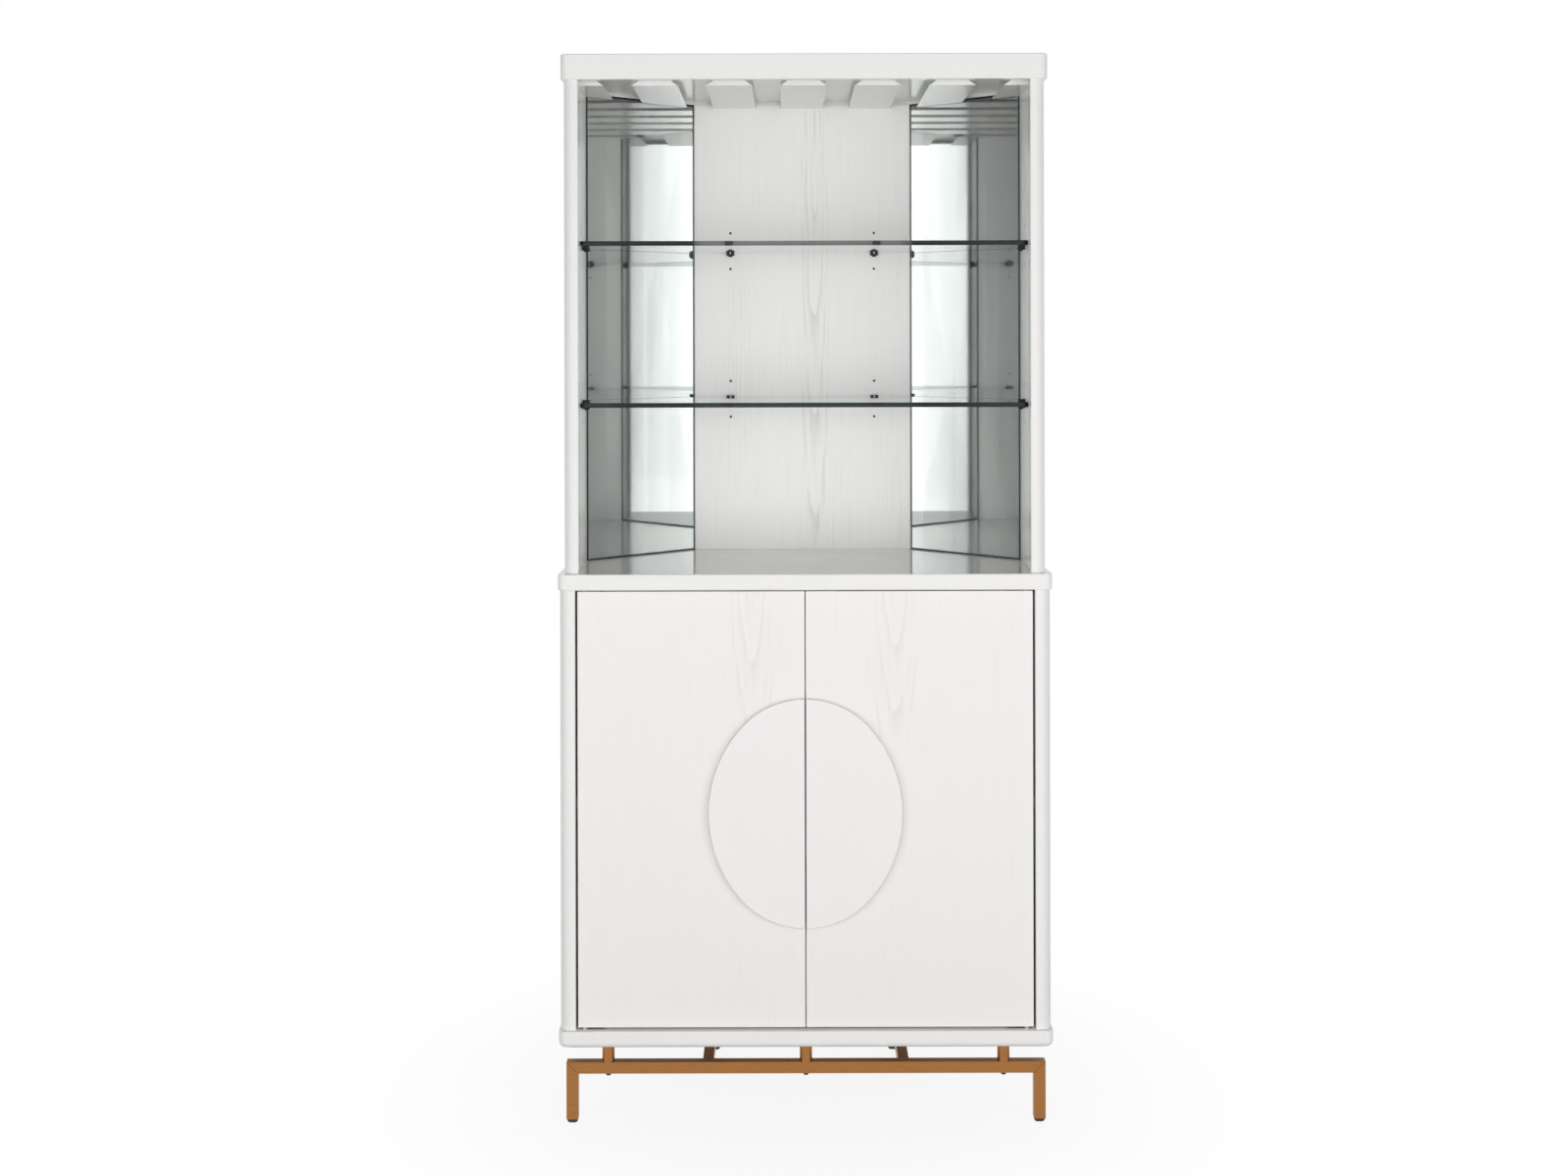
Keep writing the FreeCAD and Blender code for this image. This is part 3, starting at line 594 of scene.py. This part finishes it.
class Workshop:
    """Holds the frame, the finishes and the ways to make and place a piece."""

    def __init__(self, frame: dict) -> None:
        """Keeps the frame and starts with no material made.
        """
        self.nodes: dict[str, Object] = frame["nodes"]
        self.made: dict[Finish, Material] = {}

    def material(self, finish: Finish) -> Material:
        """Material of a finish, made once."""
        if finish not in self.made:
            self.made[finish] = finish.material()
        return self.made[finish]

    def dress(self, name: str, finish: Finish) -> None:
        """Gives a node of the frame a finish and leaves its shape."""
        self.nodes[name].material_slots[0].material = self.material(finish)
        log.info("%s keeps its shape, finish %s", name, finish.name)

    def merged_copy(self, name: str) -> BMesh:
        """Copy of a node's shape with its corners joined and its flat faces whole."""
        shape = bmesh.new()
        shape.from_mesh(self.nodes[name].data)
        bmesh.ops.remove_doubles(shape, verts=shape.verts[:], dist=MERGE_DISTANCE)
        bmesh.ops.dissolve_limit(shape, angle_limit=FLAT_ANGLE, verts=shape.verts[:], edges=shape.edges[:])
        return shape

    def place(self, name: str, shape: BMesh, finishes: Sequence[Finish], nodes: Sequence[str] = (),
              body: Body = Body.CABINET) -> Object:
        """Makes a piece from a shape and lets it ride on its body.

        Args:
            name: name of the piece.
            shape: its finished shape, which is freed.
            finishes: its finishes, in the order of its faces' numbers.
            nodes: nodes of the frame that it stands for.
            body: body that it rides on.

        Returns:
            The piece.
        """
        mesh = mesh_from(name, shape)
        if mesh.has_custom_normals:
            mesh.attributes.remove(mesh.attributes["custom_normal"])
        for finish in finishes:
            mesh.materials.append(self.material(finish))
        mesh.shade_smooth()
        mesh.set_sharp_from_angle(angle=SMOOTH_ANGLE)
        piece = add_object(name, mesh)
        piece.modifiers.new("even_normals", "WEIGHTED_NORMAL").keep_sharp = True
        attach(piece, body.value)
        if nodes:
            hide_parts(*nodes)
        log.info("%s: %d faces on %s, for %s", name, len(mesh.polygons), body.value, nodes or "itself")
        return piece

    def ease(self, name: str, finish: Finish, radius: float, shortest: float = SHORTEST_EDGE) -> Object:
        """Replaces a node of the cabinet by a copy of itself with its long sharp edges rounded.

        Args:
            name: name of the node.
            finish: finish of the copy.
            radius: radius of the rounded edges.
            shortest: shortest edge that is rounded.

        Returns:
            The copy.
        """
        shape = self.merged_copy(name)
        round_edges(shape, radius, lambda edge: edge.calc_length() > shortest)
        return self.place(f"{name}_eased", shape, [finish], [name])

    def smooth(self, name: str, finish: Finish, body: Body = Body.CABINET) -> None:
        """Replaces a node by a copy of itself whose rounds are shaded smoothly."""
        self.place(f"{name}_smooth", self.merged_copy(name), [finish], [name], body)


def round_edges(shape: BMesh, radius: float,
                wanted: Callable[[BMEdge], bool], segments: int = 3) -> None:
    """Rounds the sharp edges that pass a test.

    Args:
        shape: shape to change.
        radius: radius of the round.
        wanted: test of an edge.
        segments: facets of each round.
    """
    sharp = [
        edge for edge in shape.edges
        if len(edge.link_faces) == 2 and edge.calc_face_angle(0.0) > SMOOTH_ANGLE and wanted(edge)
    ]
    bmesh.ops.bevel(
        shape, geom=sharp, offset=radius, offset_type="OFFSET", segments=segments, profile=ROUND_PROFILE,
        affect="EDGES", clamp_overlap=True, material=-1,
    )


def cuboid(low: Vector, high: Vector) -> BMesh:
    """Box between two corners."""
    shape = bmesh.new()
    bmesh.ops.create_cube(shape, size=1)
    matrix = Matrix.Translation((low + high) / 2) @ Matrix.Diagonal((*(high - low), 1))
    bmesh.ops.transform(shape, matrix=matrix, verts=shape.verts[:])
    return shape


def turned(profile: Iterable[tuple[float, float]], steps: int) -> BMesh:
    """Closed shape turned about z from a profile of (radius, height), which starts and ends on the axis."""
    shape = bmesh.new()
    corners = [shape.verts.new((radius, 0, height)) for radius, height in profile]
    edges = [shape.edges.new(pair) for pair in zip(corners, corners[1:])]
    bmesh.ops.spin(
        shape, geom=corners + edges, cent=(0, 0, 0), axis=(0, 0, 1), angle=FULL_TURN, steps=steps,
        use_merge=True,
    )
    bmesh.ops.remove_doubles(shape, verts=shape.verts[:], dist=MERGE_DISTANCE)
    bmesh.ops.recalc_face_normals(shape, faces=shape.faces[:])
    return shape


def joined(shapes: Iterable[BMesh]) -> BMesh:
    """All the shapes as one, with the single ones freed."""
    whole = bmesh.new()
    for shape in shapes:
        mesh = mesh_from("part_of_a_group", shape)
        whole.from_mesh(mesh)
        bpy.data.meshes.remove(mesh)
    return whole


def moved(shape: BMesh, place: Vector, out: Vector) -> BMesh:
    """Shape with its z axis turned to point along out and its origin put at a place."""
    turn = Vector((0, 0, 1)).rotation_difference(out).to_matrix().to_4x4()
    bmesh.ops.transform(shape, matrix=Matrix.Translation(place) @ turn, verts=shape.verts[:])
    return shape


def cylinder(radius: float, height: float, steps: int) -> BMesh:
    """Upright cylinder that stands on z = 0."""
    return turned([(0, 0), (radius, 0), (radius, height), (0, height)], steps)


def cut(shape: BMesh, place: Triple, normal: Triple, clear: bool = False) -> None:
    """Cuts a shape with a plane, and takes away what lies behind it if asked to clear it."""
    geometry = shape.verts[:] + shape.edges[:] + shape.faces[:]
    bmesh.ops.bisect_plane(shape, geom=geometry, plane_co=place, plane_no=normal, clear_inner=clear)


@dataclass(frozen=True)
class Screw:
    """Round head of a screw, with a recess for its driver; the shares are of its radius and height."""

    radius: float
    height: float
    lobes: int
    recess_share: float = 0.5
    pinch_share: float = 0.45
    floor_share: float = 0.3
    rim_share: float = 0.97
    dome: tuple[tuple[float, float], ...] = ((0.75, 0.86), (0.95, 0.45), (1, 0))
    steps: int = 24

    def head(self, place: Vector, out: Vector) -> BMesh:
        """Head that stands on a face at a place and points out of it."""
        recess = self.radius * self.recess_share
        floor, rim = self.height * self.floor_share, self.height * self.rim_share
        dome = [(self.radius * wide, self.height * tall) for wide, tall in self.dome]
        shape = turned([(0, floor), (recess, floor), (recess, rim), *dome, (0, 0)], self.steps)
        for corner in shape.verts:
            reach = math.hypot(corner.co.x, corner.co.y)
            if abs(reach - recess) < MERGE_DISTANCE:
                wave = math.cos(self.lobes * math.atan2(corner.co.y, corner.co.x))
                factor = 1 - self.pinch_share * (1 - wave) / 2
                corner.co.x *= factor
                corner.co.y *= factor
        return moved(shape, place, out)


def socket_screw(radius: float, height: float, steps: int) -> Screw:
    """Round head with a hexagon socket."""
    return Screw(radius, height, 6, recess_share=0.45, pinch_share=0.15, steps=steps)


@dataclass
class MetalBase:
    """Bronze frame under the cabinet, with its standoffs, bolts and glides."""

    shop: Workshop
    tube_edge: float = 1.4 * MILLIMETRE
    standoff_edge: float = 0.6 * MILLIMETRE
    bolt_head: Screw = socket_screw(5.5 * MILLIMETRE, 6 * MILLIMETRE, 36)
    shank_radius: float = 3 * MILLIMETRE
    shank_steps: int = 24
    glide_corner: float = 6.5 * MILLIMETRE
    corner_segments: int = 6
    glide_round: float = 6.8 * MILLIMETRE
    round_segments: int = 7
    glide_height: float = 7.5 * MILLIMETRE
    plug_inset: float = 2 * MILLIMETRE
    plug_edge: float = MILLIMETRE

    def build(self) -> None:
        """Makes every piece of the base."""
        for name in ("base_front_bar", "base_rear_bar"):
            self.shop.ease(name, BRONZE, self.tube_edge)
        for side in Side:
            for part in ("front_leg", "base_rail", "rear_leg"):
                self.shop.ease(f"{part}_{side.word}", BRONZE, self.tube_edge)
        self.shop.ease("base_standoffs", BRONZE, self.standoff_edge, shortest=0.0)
        self.build_bolts()
        self.build_glides()

    def build_bolts(self) -> None:
        """Makes the bolts with round heads and hexagon sockets under the tubes."""
        node = self.shop.merged_copy("base_bolts")
        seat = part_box("base_front_bar")[0].z
        parts = []
        for low, high in islands(node):
            place = Vector((*((low + high) / 2).xy, seat))
            parts.append(self.bolt_head.head(place, Vector((0, 0, -1))))
            shank = cylinder(self.shank_radius, high.z - seat, self.shank_steps)
            parts.append(moved(shank, place, Vector((0, 0, 1))))
        node.free()
        self.shop.place("socket_head_bolts", joined(parts), [BOLT_STEEL], ["base_bolts"])

    def build_glides(self) -> None:
        """Makes the rounded feet and the plugs that hold them in the tubes."""
        node = self.shop.merged_copy("foot_glides")
        inset = Vector((self.plug_inset, self.plug_inset, 0))
        parts = []
        for low, high in islands(node):
            foot = cuboid(low, Vector((high.x, high.y, self.glide_height)))
            round_edges(foot, self.glide_corner, is_upright, self.corner_segments)
            round_edges(foot, self.glide_round, on_floor, self.round_segments)
            plug = cuboid(Vector((low.x, low.y, self.glide_height)) + inset, high - inset)
            round_edges(plug, self.plug_edge, lambda edge: True)
            parts += [foot, plug]
        node.free()
        self.shop.place("rounded_glides", joined(parts), [BLACK_PLASTIC], ["foot_glides"])


def is_upright(edge: BMEdge) -> bool:
    """Whether an edge runs along z."""
    run = edge.verts[1].co - edge.verts[0].co
    return abs(run.z) > ALIGNED * run.length


def on_floor(edge: BMEdge) -> bool:
    """Whether both ends of an edge lie on the floor."""
    return all(corner.co.z < MILLIMETRE for corner in edge.verts)


def islands(shape: BMesh) -> list[tuple[Vector, Vector]]:
    """Lowest and highest corner of each connected part of a shape."""
    boxes = []
    waiting = set(shape.verts)
    while waiting:
        fresh = {waiting.pop()}
        reached = set()
        while fresh:
            reached |= fresh
            fresh = {edge.other_vert(corner) for corner in fresh for edge in corner.link_edges} & waiting
            waiting -= fresh
        places = list(zip(*(corner.co for corner in reached)))
        boxes.append((Vector([min(line) for line in places]), Vector([max(line) for line in places])))
    return sorted(boxes, key=lambda box: tuple(box[0]))


@dataclass
class LowerStage:
    """Cupboard without its doors."""

    shop: Workshop
    board_edge: float = 0.8 * MILLIMETRE
    catch_edge: float = 0.6 * MILLIMETRE

    def build(self) -> None:
        """Makes every piece of the lower stage."""
        self.shop.smooth("bottom_board", WHITE_PAINT)
        self.shop.smooth("countertop", TOP_GRAIN)
        for side in Side:
            self.shop.smooth(f"lower_post_{side.word}", WHITE_PAINT)
            for part in ("lower_side_panel", "lower_rear_wall", "cabinet_shelf"):
                self.shop.ease(f"{part}_{side.word}", WHITE_PAINT, self.board_edge)
        self.shop.ease("lower_back_panel", BACK_GRAIN, self.board_edge)
        self.shop.ease("centre_divider", WHITE_PAINT, self.board_edge)
        self.shop.smooth("cabinet_shelf_pins", HINGE_STEEL)
        self.shop.ease("magnetic_catches", CATCH_PLASTIC, self.catch_edge)


@dataclass
class DoorPair:
    """The doors with their half-moon plates, strike plates and hinge leaves."""

    shop: Workshop
    door_edge: float = 0.5 * MILLIMETRE
    moon_half_width: float = 180 * MILLIMETRE
    moon_half_height: float = 212.6 * MILLIMETRE
    moon_end_radius: float = 160 * MILLIMETRE
    moon_rim: float = 1.2 * MILLIMETRE
    rebate_inset: float = 8 * MILLIMETRE
    rebate_depth: float = 8 * MILLIMETRE
    arc_steps: int = 30
    screw: Screw = Screw(3 * MILLIMETRE, 0.5 * MILLIMETRE, 4)
    screw_inset: float = 4 * MILLIMETRE

    def build(self) -> None:
        """Makes both doors and what they carry."""
        for side, grain in ((Side.LEFT, LEFT_GRAIN), (Side.RIGHT, RIGHT_GRAIN)):
            self.build_door(side, grain)
            self.build_half_moon(side)
            for part in ("strike_plate", "door_hinge_leaves"):
                self.shop.smooth(f"{part}_{side.word}", HINGE_STEEL, side.door_body)
            self.shop.smooth(f"frame_hinge_leaves_{side.word}", HINGE_STEEL)
            self.build_strike_screws(side)

    def build_door(self, side: Side, grain: Finish) -> None:
        """Copies a door and softens the edges of its front face."""
        name = f"door_{side.word}"
        shape = self.shop.merged_copy(name)
        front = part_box(name)[0].y + MERGE_DISTANCE
        round_edges(shape, self.door_edge, lambda edge: all(corner.co.y < front for corner in edge.verts))
        self.shop.place(f"{name}_front", shape, [grain], [name], side.door_body)

    def half_oval(self, middle: float, inset: float) -> BMesh:
        """Flat right half of the oval, made smaller by an inset, in the plane y = 0 about a height."""
        wide, tall, end_radius = (
            length - inset for length in (self.moon_half_width, self.moon_half_height, self.moon_end_radius)
        )
        side_radius = (wide ** 2 + tall ** 2 - 2 * tall * end_radius) / (2 * (wide - end_radius))
        side_x, end_z = wide - side_radius, tall - end_radius
        slope = math.atan2(end_z, -side_x)
        arcs = (
            ((0, 0, middle + end_z), math.pi / 2 - slope),
            ((side_x, 0, middle), 2 * slope),
            ((0, 0, middle - end_z), math.pi / 2 - slope),
        )
        shape = bmesh.new()
        last = shape.verts.new((0, 0, middle + tall))
        for centre, angle in arcs:
            done = bmesh.ops.spin(
                shape, geom=[last], cent=centre, axis=(0, 1, 0), angle=angle, steps=self.arc_steps,
            )
            last = next(item for item in done["geom_last"] if isinstance(item, BMVert))
        shape.verts.ensure_lookup_table()
        shape.edges.new((last, shape.verts[0]))
        bmesh.ops.edgeloop_fill(shape, edges=shape.edges[:])
        return shape

    def half_slab(self, middle: float, inset: float, inner: float, back: float,
                  front: float) -> BMesh:
        """Right half of the oval as a slab.

        Args:
            middle: height of its middle.
            inset: how much smaller it is than the oval all round.
            inner: x of its straight edge.
            back: y of its back face.
            front: y of its front face.

        Returns:
            The slab.
        """
        shape = self.half_oval(middle, inset)
        cut(shape, (inner, 0, 0), (1, 0, 0), clear=True)
        bmesh.ops.translate(shape, vec=(0, back, 0), verts=shape.verts[:])
        done = bmesh.ops.extrude_face_region(shape, geom=shape.faces[:])
        moving = [item for item in done["geom"] if isinstance(item, BMVert)]
        bmesh.ops.translate(shape, vec=(0, front - back, 0), verts=moving)
        bmesh.ops.recalc_face_normals(shape, faces=shape.faces[:])
        return shape

    def build_half_moon(self, side: Side) -> None:
        """Makes one raised half of the oval, with a soft rim and a shadow rebate behind it."""
        name = f"half_moon_{side.word}"
        low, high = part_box(name)
        middle = (low.z + high.z) / 2
        inner = min(abs(low.x), abs(high.x))
        seat = high.y - self.rebate_depth
        foot = self.half_slab(middle, self.rebate_inset, inner, high.y, seat)
        plate = self.half_slab(middle, 0.0, inner, seat, low.y)
        limit = low.y + MERGE_DISTANCE

        def on_rim(edge: BMEdge) -> bool:
            """Whether an edge lies in the front face, away from the straight inner edge."""
            in_front = all(corner.co.y < limit for corner in edge.verts)
            return in_front and any(corner.co.x > inner + MERGE_DISTANCE for corner in edge.verts)

        round_edges(plate, self.moon_rim, on_rim)
        shape = joined([foot, plate])
        if side is Side.LEFT:
            bmesh.ops.scale(shape, vec=(-1, 1, 1), verts=shape.verts[:])
            bmesh.ops.reverse_faces(shape, faces=shape.faces[:])
        self.shop.place(f"{name}_plate", shape, [MOON_PAINT], [name], side.door_body)

    def build_strike_screws(self, side: Side) -> None:
        """Makes the two screws that hold a strike plate."""
        low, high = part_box(f"strike_plate_{side.word}")
        middle = (low + high) / 2
        reach = (high.x - low.x) / 2 - self.screw_inset
        heads = [
            self.screw.head(Vector((middle.x + step * reach, high.y, middle.z)), Vector((0, 1, 0)))
            for step in (-1, 1)
        ]
        self.shop.place(f"strike_screws_{side.word}", joined(heads), [HINGE_STEEL], body=side.door_body)


@dataclass
class UpperStage:
    """Open upper cabinet with its mirrors, cornice and stemware rack."""

    shop: Workshop
    board_edge: float = 0.8 * MILLIMETRE
    slat_edge: float = 1.0 * MILLIMETRE
    hole_reach: float = 6 * MILLIMETRE
    painted_shade_rim: float = 3 * MILLIMETRE
    long_edge: float = 20 * MILLIMETRE
    slats: tuple[str, ...] = (
        "left_end", "left_outer", "left_inner", "middle", "right_inner", "right_outer", "right_end",
    )

    def build(self) -> None:
        """Makes every piece of the upper stage."""
        self.shop.smooth("cornice", WHITE_PAINT)
        self.build_drilled_panel("upper_back_panel", BACK_GRAIN, 1)
        for side in Side:
            self.shop.smooth(f"upper_post_{side.word}", WHITE_PAINT)
            # The side panels take the brightened paint, painted light for their shaded inner faces.
            self.build_drilled_panel(f"upper_side_panel_{side.word}", LIT_PANEL_PAINT, 0)
            self.shop.ease(f"upper_rear_wall_{side.word}", WHITE_PAINT, self.board_edge)
            self.build_mirror(side)
        for place in self.slats:
            self.shop.ease(f"stemware_slat_{place}", WHITE_PAINT, self.slat_edge)
        self.shop.dress("locating_tongues", BEECH)

    def build_drilled_panel(self, name: str, finish: Finish, across: int) -> None:
        """Copies a panel and paints the inside of its pin holes near black: bare board darkened as painted
        shade.

        Args:
            name: name of the node.
            finish: finish of its faces.
            across: axis along which the holes run.
        """
        shape = self.shop.merged_copy(name)
        flat = [axis for axis in range(3) if axis != across]
        for face in shape.faces:
            spans = [max(c.co[a] for c in face.verts) - min(c.co[a] for c in face.verts) for a in flat]
            if max(spans) < self.hole_reach:
                # Faces inside a hole take the near-black finish: painted shade.
                face.material_index = 1
        round_edges(shape, self.board_edge, lambda edge: edge.calc_length() > self.long_edge)
        self.shop.place(f"{name}_drilled", shape, [finish, SHADED_HOLE_BOARD], [name])

    def build_mirror(self, side: Side) -> None:
        """Copies a mirror as a sheet of glass with silver behind it and dark cut edges; a strip along the
        top and bottom of its back takes the same dark finish as painted shade.
        """
        name = f"mirror_{side.word}"
        shape = self.shop.merged_copy(name)
        facing = Vector((-side.sign, -1, 0)).normalized()
        low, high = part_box(name)
        # A strip at the top and bottom of the back is left without silver and painted dark: painted shade
        # for the dark line at the mirror's foot and head.
        bottom, top = low.z + self.painted_shade_rim, high.z - self.painted_shade_rim
        for height in (bottom, top):
            cut(shape, (0, 0, height), (0, 0, 1))
        for face in shape.faces:
            towards = face.normal.dot(facing)
            silvered = towards < -ALIGNED and bottom < face.calc_center_median().z < top
            face.material_index = 0 if towards > ALIGNED else 1 if silvered else 2
        self.shop.place(f"{name}_silvered", shape, [MIRROR_GLASS, SILVER, MIRROR_EDGE_AND_SHADE], [name])


@dataclass
class GlassShelves:
    """Glass shelves and the clips that grip them."""

    shop: Workshop
    polished_edge: float = 0.7 * MILLIMETRE
    clip_edge: float = 0.5 * MILLIMETRE
    clip_shortest: float = 2.5 * MILLIMETRE
    pad_radius: float = 2.4 * MILLIMETRE
    pad_height: float = 2.2 * MILLIMETRE
    pad_proud: float = 0.5 * MILLIMETRE
    pad_steps: int = 20
    screw_inset: float = 6 * MILLIMETRE
    side_clip_start: float = 300 * MILLIMETRE
    set_screw: Screw = socket_screw(4.8 * MILLIMETRE, 2.8 * MILLIMETRE, 30)

    def build(self) -> None:
        """Makes the shelves, the clips and what the clips hold."""
        for level, glass in (("lower", LOWER_GLASS), ("upper", UPPER_GLASS)):
            sheet = self.shop.ease(f"glass_shelf_{level}", glass, self.polished_edge)
            sheet.visible_shadow = False
            self.shop.ease(f"shelf_clips_{level}", GUNMETAL, self.clip_edge, shortest=self.clip_shortest)
            self.build_pads(level)

    def build_pads(self, level: str) -> None:
        """Makes the pale pads in the jaws of the clips, whose pale tone also stands in for a glint there as
        a painted highlight, and the set screws under them.
        """
        node = self.shop.merged_copy(f"shelf_clips_{level}")
        glass_low, glass_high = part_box(f"glass_shelf_{level}")
        pads, screws = [], []
        for low, high in islands(node):
            middle = (low + high) / 2
            out = Vector((0, -1, 0))
            nose = Vector((middle.x, low.y, middle.z))
            if abs(middle.x) > self.side_clip_start:
                way = math.copysign(1, middle.x)
                out = Vector((-way, 0, 0))
                nose = Vector((low.x if way > 0 else high.x, middle.y, middle.z))
            inside = nose - out * (self.pad_radius - self.pad_proud)
            for height in (glass_low.z - self.pad_height, glass_high.z):
                pad = cylinder(self.pad_radius, self.pad_height, self.pad_steps)
                pads.append(moved(pad, Vector((*inside.xy, height)), Vector((0, 0, 1))))
            under = nose - out * self.screw_inset
            screws.append(self.set_screw.head(Vector((*under.xy, low.z)), Vector((0, 0, -1))))
        node.free()
        self.shop.place(f"clip_pads_{level}", joined(pads), [PAD_AND_GLINT])
        self.shop.place(f"clip_set_screws_{level}", joined(screws), [GUNMETAL])


@dataclass(frozen=True)
class Lamp:
    """A soft lamp that looks at a point and isn't seen in mirrors."""

    name: str
    place: Triple
    target: Triple
    width: float
    height: float
    power: float

    def build(self) -> None:
        """Adds the lamp to the scene."""
        light = bpy.data.lights.new(self.name, "AREA")
        light.shape = "RECTANGLE"
        light.size, light.size_y = self.width, self.height
        light.energy = self.power
        lamp = add_object(self.name, light)
        lamp.visible_glossy = lamp.visible_transmission = False
        lamp.location = self.place
        aim = Vector(self.target) - Vector(self.place)
        lamp.rotation_euler = aim.to_track_quat("-Z", "Y").to_euler()


@dataclass
class Studio:
    """Pale floor, soft light and the camera."""

    floor_radius: float = 9.0
    floor_segments: int = 96
    floor_roughness: float = 0.9
    shade_radius: float = 1.0
    shade_core: float = 0.3
    core_white: float = 0.88
    floor_colour: Colour = (0.9, 0.9, 0.9)
    floor_bounce: Colour = (0.42, 0.41, 0.4)
    front_light: float = 0.5
    side_light: float = 0.15
    back_light: float = 1.1
    mirrored_light: float = 1.5
    wall_near: float = 0.2
    wall_far: float = 0.75
    lens: float = 46.01
    sensor: float = 36.0
    camera_place: Triple = (-0.038, -3.9445, 1.4768)
    camera_shift: float = -0.1625
    camera_roll: float = 0.0023
    lamps: tuple[Lamp, ...] = (
        Lamp("front_lamp", (0.0, -4.2, 1.1), (0, 0, 1.0), 4.0, 2.1, 72),
        Lamp("key_lamp", (2.5, -2.6, 1.0), (0, 0, 1.1), 1.6, 1.6, 29),
        Lamp("fill_lamp", (-2.5, -2.6, 0.9), (0, 0, 1.1), 1.6, 1.6, 24),
    )

    def build(self) -> None:
        """Sets up the studio."""
        bpy.context.scene.view_settings.view_transform = "Standard"
        self.build_world()
        self.build_floor()
        self.build_camera()
        for lamp in self.lamps:
            lamp.build()

    @staticmethod
    def sees_background(graph: Graph) -> NodeSocket:
        """1 for rays that show the background: from the camera, off gloss or through glass."""
        path = graph.node("ShaderNodeLightPath")
        seen = graph.maths("MAXIMUM", path.outputs["Is Camera Ray"], path.outputs["Is Glossy Ray"])
        return graph.maths("MAXIMUM", seen, path.outputs["Is Transmission Ray"])

    def build_world(self) -> None:
        """Makes the world white where it is seen, brighter through glass and softer where it lights."""
        world = bpy.data.worlds.new("studio")
        world.use_nodes = True
        bpy.context.scene.world = world
        graph = Graph(world.node_tree)
        direction = graph.node("ShaderNodeTexCoord").outputs["Generated"]
        backward = graph.axis(direction, 1)
        front = graph.span(backward, -self.wall_far, -self.wall_near, self.front_light, self.side_light)
        back = graph.span(backward, self.wall_near, self.wall_far, 0.0, self.back_light)
        room = graph.maths("MAXIMUM", front, back)
        path = graph.node("ShaderNodeLightPath")
        mirrored = graph.maths("MULTIPLY", path.outputs["Is Transmission Ray"], self.mirrored_light)
        seen = self.sees_background(graph)
        unseen = graph.maths("MULTIPLY", graph.maths("SUBTRACT", 1.0, seen), room)
        strength = graph.maths("MAXIMUM", graph.maths("ADD", seen, unseen), mirrored)
        graph.fill(world.node_tree.nodes["Background"], {"Color": opaque((1, 1, 1)), "Strength": strength})

    def build_floor(self) -> None:
        """Makes a pale floor that keeps the shadow near the cabinet and fades to white further out."""
        shape = bmesh.new()
        bmesh.ops.create_circle(shape, cap_ends=True, segments=self.floor_segments, radius=self.floor_radius)
        mesh = mesh_from("studio_floor", shape)
        floor = add_object("studio_floor", mesh)
        material, graph, shader = new_material("studio_floor")
        mesh.materials.append(material)
        seen = self.sees_background(graph)
        graph.fill(shader, {
            "Base Color": graph.blend(seen, self.floor_bounce, self.floor_colour),
            "Roughness": self.floor_roughness,
            "Specular IOR Level": 0.0,
        })
        glow = graph.node("ShaderNodeEmission", {"Color": opaque((1, 1, 1)), "Strength": 1.0})
        place = graph.node("ShaderNodeTexCoord").outputs["Object"]
        away = graph.node("ShaderNodeVectorMath", {"Vector": place}, operation="LENGTH").outputs["Value"]
        core = self.shade_radius * self.shade_core
        white = graph.span(away, core, self.shade_radius, self.core_white, 1.0)
        mixed = graph.node("ShaderNodeMixShader", {"Fac": graph.maths("MULTIPLY", white, seen)})
        graph.feed(mixed.inputs[1], shader.outputs[0])
        graph.feed(mixed.inputs[2], glow.outputs[0])
        graph.fill(material.node_tree.nodes["Material Output"], {"Surface": mixed.outputs[0]})

    def build_camera(self) -> None:
        """Adds the camera at the photograph's viewing angle."""
        data = bpy.data.cameras.new("camera")
        data.lens = self.lens
        data.sensor_width = self.sensor
        data.sensor_fit = "HORIZONTAL"
        data.shift_y = self.camera_shift
        camera = add_object("camera", data)
        camera.location = self.camera_place
        camera.rotation_euler = (math.pi / 2, self.camera_roll, 0)
        bpy.context.scene.camera = camera


def main() -> None:
    """Loads the frame, sets up the studio and builds every sub-assembly."""
    logging.basicConfig(level=logging.INFO, format="%(name)s: %(message)s")
    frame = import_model()
    Studio().build()
    shop = Workshop(frame)
    for kind in (MetalBase, LowerStage, DoorPair, UpperStage, GlassShelves):
        kind(shop).build()
        log.info("%s is done", kind.__name__)


if __name__ == "__main__":
    main()
